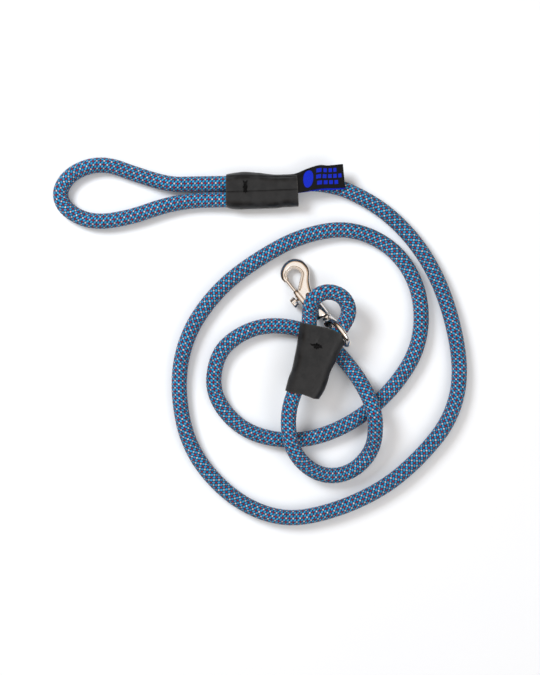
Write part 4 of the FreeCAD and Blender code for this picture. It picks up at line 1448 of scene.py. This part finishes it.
def housing_mesh():
    """The tube that the bolt slides in, with a slot for the knob's post."""
    window = np.linspace(-SLOT_HALF, SLOT_HALF, SLOT_COLUMNS + 1)
    rest = np.linspace(SLOT_HALF, 2 * math.pi - SLOT_HALF,
                       HOUSING_COLUMNS - SLOT_COLUMNS + 1)[1:-1]
    turn = np.concatenate([window, rest])
    rows, columns = len(HOUSING_XS), HOUSING_COLUMNS
    shells = []
    for inside in (False, True):
        for row, x in enumerate(HOUSING_XS):
            end = row in (0, rows - 1)
            radius = BORE_R if inside else HOUSING_R - HOUSING_ROUND * end
            shells.append(np.stack([np.full_like(turn, x), BOLT_Y + radius * np.cos(turn),
                                    radius * np.sin(turn)], axis=1))
    points = from_snap(np.array(shells)).reshape(-1, 3)

    def at(row, column, inside):
        return (inside * rows + row) * columns + column % columns

    def is_open(row, column):
        return row in SLOT_ROWS and 0 <= column % columns < SLOT_COLUMNS

    faces = []
    for row in range(rows - 1):
        for column in range(columns):
            if is_open(row, column):
                for near, a, b in (
                    ((row - 1, column), (row, column), (row, column + 1)),
                    ((row + 1, column), (row + 1, column + 1), (row + 1, column)),
                    ((row, column - 1), (row + 1, column), (row, column)),
                    ((row, column + 1), (row, column + 1), (row + 1, column + 1)),
                ):
                    if not is_open(*near):
                        faces.append([at(*b, 0), at(*a, 0), at(*a, 1), at(*b, 1)])
                continue
            corners = [(row, column), (row + 1, column), (row + 1, column + 1),
                       (row, column + 1)]
            faces.append([at(r, c, 0) for r, c in corners][::-1])
            faces.append([at(r, c, 1) for r, c in corners])
    for column in range(columns):
        faces.append([at(0, column, 0), at(0, column, 1), at(0, column + 1, 1),
                      at(0, column + 1, 0)])
        last = rows - 1
        faces.append([at(last, column + 1, 0), at(last, column + 1, 1),
                      at(last, column, 1), at(last, column, 0)])
    mesh = bpy.data.meshes.new("housing")
    mesh.from_pydata(points.tolist(), [], faces)
    mesh.uv_layers.new(name="UVMap")
    mesh.shade_smooth()
    mesh.set_sharp_from_angle(angle=SHARP)
    return mesh


shoulder = rings_mesh("shoulder", oval_rings(SHOULDER, SHOULDER_COLUMNS))
metal_piece("snap_body_cast", [bow_mesh(), shoulder, housing_mesh()], nickel,
            "snap", "snap_body")

# %% [markdown]
# ## The swivel eye
# The eye is a heavy ring that leans a little, because the rope pulls it to one side.
# It thickens into a boss, and a collar and a stem go from the boss into the body.

# %% Eye
EYE_R = 9.9
WIRE_R = 1.9
LEAN = math.radians(11)
BOSS_SWELL = 1.6            # how much thicker the wire is at the boss
BOSS_SPREAD = 0.55          # how far round the ring that reaches, in radians
EYE_STEPS, WIRE_COLUMNS = 96, 20
COLLAR_COLUMNS = 36
COLLAR = [  # ovals along the boss, the collar and the stem
    (7.4, 0.5, 0.02, 0.02), (7.4, 0.5, 3.0, 1.8), (8.0, 0.5, 3.7, 2.8),
    (9.2, 0.6, 4.1, 3.6), (10.8, 0.5, 4.2, 3.8), (11.8, 0.2, 3.7, 3.5),
    (12.1, 0.0, 3.0, 3.0), (12.4, 0.0, 2.9, 2.9), (12.6, 0.0, 3.05, 3.05),
    (12.75, 0.0, 3.4, 3.4), (13.2, 0.0, 3.5, 3.5), (13.6, 0.0, 3.4, 3.4),
    (13.85, 0.0, 3.0, 3.0), (13.95, 0.0, 1.5, 1.5), (20.6, 0.0, 1.5, 1.5),
    (20.6, 0.0, 0.02, 0.02),
]


def eye_ring():
    """The ring of wire, thicker at the boss and leaning about the swivel's axis."""
    along = np.linspace(0, 2 * math.pi, EYE_STEPS + 1)[:-1]
    around = np.arange(WIRE_COLUMNS) * 2 * math.pi / WIRE_COLUMNS
    t, a = np.meshgrid(along, around, indexing="ij")
    near = np.minimum(t, 2 * math.pi - t)
    wire = WIRE_R + BOSS_SWELL * bell(near, BOSS_SPREAD)
    out = EYE_R + wire * np.cos(a)
    x, z = out * np.cos(t), out * np.sin(t)
    y = wire * np.sin(a)
    ring = np.stack([x, y * math.cos(LEAN) - z * math.sin(LEAN),
                     y * math.sin(LEAN) + z * math.cos(LEAN)], axis=-1)
    return grid_mesh("eye_ring", from_snap(ring), wrap=True, wrap_rows=True,
                     uv_scale=(1 / WIRE_COLUMNS, 1 / EYE_STEPS))


eye_collar = rings_mesh("eye_collar", oval_rings(COLLAR, COLLAR_COLUMNS))
metal_piece("swivel_eye_cast", [eye_ring(), eye_collar], nickel, "eye", "swivel_eye")

# %% [markdown]
# ## The thumb knob
# The knob is a small drum on a post, with flutes cut along its side for grip.  It is
# drawn as rings of points up the drum's axis, where every flute is a dip in the ring.

# %% Knob
KNOB_AT = 34.9          # along the snap's x, with the bolt shut
KNOB_RINGS = [  # distance from the swivel's axis, radius, depth of the flutes
    (6.75, 0.85, 0.0), (8.6, 0.85, 0.0), (8.85, 1.2, 0.0), (8.88, 3.1, 0.0),
    (9.02, 3.45, 0.3), (9.3, 3.68, 1.0), (10.2, 3.75, 1.0), (11.5, 3.75, 1.0),
    (12.35, 3.68, 1.0), (12.65, 3.42, 0.3), (12.8, 3.0, 0.0), (12.85, 1.8, 0.0),
    (12.75, 0.6, 0.0),
]
FLUTES = 14
FLUTE_POINTS = 10       # points across one flute
FLUTE_DEPTH = 0.16


def knob_mesh():
    around = FLUTES * FLUTE_POINTS
    turn = np.arange(around) * 2 * math.pi / around
    wave = 0.5 - 0.5 * np.cos(FLUTES * turn)
    rings = []
    for height, radius, cut in KNOB_RINGS:
        r = radius - cut * FLUTE_DEPTH * wave ** 1.5
        rings.append(np.stack([KNOB_AT + r * np.cos(turn), np.full_like(turn, height),
                               r * np.sin(turn)], axis=1))
    return rings_mesh("knob", rings)


metal_piece("thumb_knob_fluted", [knob_mesh()], bolt_nickel, "bolt", "thumb_knob")

# %% [markdown]
# ## The table, the light and what the metal sees
# The leash lies on a plain pale table under two soft lights: a window on the upper
# left, and a weaker fill from the right.  Polished metal shows its surroundings, so
# the sky round the scene isn't plain: it is white overhead, and warm and then dark
# towards the horizon.  The window is kept out of the metal, where it would only be a
# white patch.  A plain pale wall stands in for the sky where it is seen directly.

# %% Table
TABLE_HALF = 4.0                # metres from its middle to a side
TABLE_MIDDLE = (0.0, -0.1, 0.0)


def make_table():
    mesh = bpy.data.meshes.new("table")
    corners = [(x * TABLE_HALF, y * TABLE_HALF, 0)
               for x, y in ((-1, -1), (1, -1), (1, 1), (-1, 1))]
    mesh.from_pydata(corners, [], [(0, 1, 2, 3)])
    mesh.materials.append(mottled(
        "pale_table", (0.850, 0.868, 0.890, 1), (0.870, 0.888, 0.905, 1), scale=9.0,
        detail=2.0, roughness=0.85,
    ))
    table = link_mesh("table", mesh)
    table.location = TABLE_MIDDLE


make_table()
print("table ready")

# %% Lights
def soft_light(name, place, size, power, in_metal, colour):
    """A round soft light that is turned to the table's middle."""
    data = bpy.data.lights.new(name, "AREA")
    data.shape = "DISK"
    data.size = size
    data.energy = power
    data.color = colour
    light = bpy.data.objects.new(name, data)
    light.location = place
    direction = np.array(TABLE_MIDDLE) - np.array(place)
    light.rotation_mode = "QUATERNION"
    light.rotation_quaternion = Vector(direction).to_track_quat("-Z", "Y")
    light.visible_glossy = in_metal
    bpy.context.scene.collection.objects.link(light)


soft_light("window", (-0.62, 0.42, 0.85), size=0.50, power=11.0, in_metal=False,
           colour=(0.95, 1.0, 1.06))
soft_light("fill", (0.75, -0.75, 0.9), size=0.9, power=5.0, in_metal=True,
           colour=(0.96, 1.0, 1.05))
print("lights ready")

# %% Sky and wall
PALE_WALL = (0.80, 0.815, 0.83, 1.0)
SKY = [  # height, from the horizon at 0 to overhead at 1, and colour
    (0.03, (0.30, 0.26, 0.22, 1)), (0.12, (0.02, 0.02, 0.022, 1)),
    (0.48, (0.03, 0.026, 0.024, 1)), (0.60, (0.34, 0.24, 0.16, 1)),
    (0.74, (0.76, 0.62, 0.50, 1)), (0.84, (1.0, 0.95, 0.90, 1)),
    (0.97, (1.0, 1.0, 1.0, 1)),
]

world = bpy.data.worlds.new("studio")
world.use_nodes = True
bpy.context.scene.world = world
tree = world.node_tree
split = add(tree, "ShaderNodeSeparateXYZ")
tree.links.new(add(tree, "ShaderNodeTexCoord").outputs["Generated"], split.inputs[0])
ramp = add(tree, "ShaderNodeValToRGB")
stops = ramp.color_ramp.elements
for stop, (height, colour) in zip(stops, (SKY[0], SKY[-1])):
    stop.position = height
    stop.color = colour
for height, colour in SKY[1:-1]:
    stops.new(height).color = colour
tree.links.new(split.outputs[2], ramp.inputs[0])
seen = add(tree, "ShaderNodeLightPath").outputs["Is Camera Ray"]
sky = next(n for n in tree.nodes if n.type == "BACKGROUND")
tree.links.new(blend(tree, seen, ramp.outputs[0], PALE_WALL), sky.inputs["Color"])
sky.inputs["Strength"].default_value = 1.0
bpy.context.scene.view_settings.view_transform = "Standard"
print("sky:", len(stops), "bands")
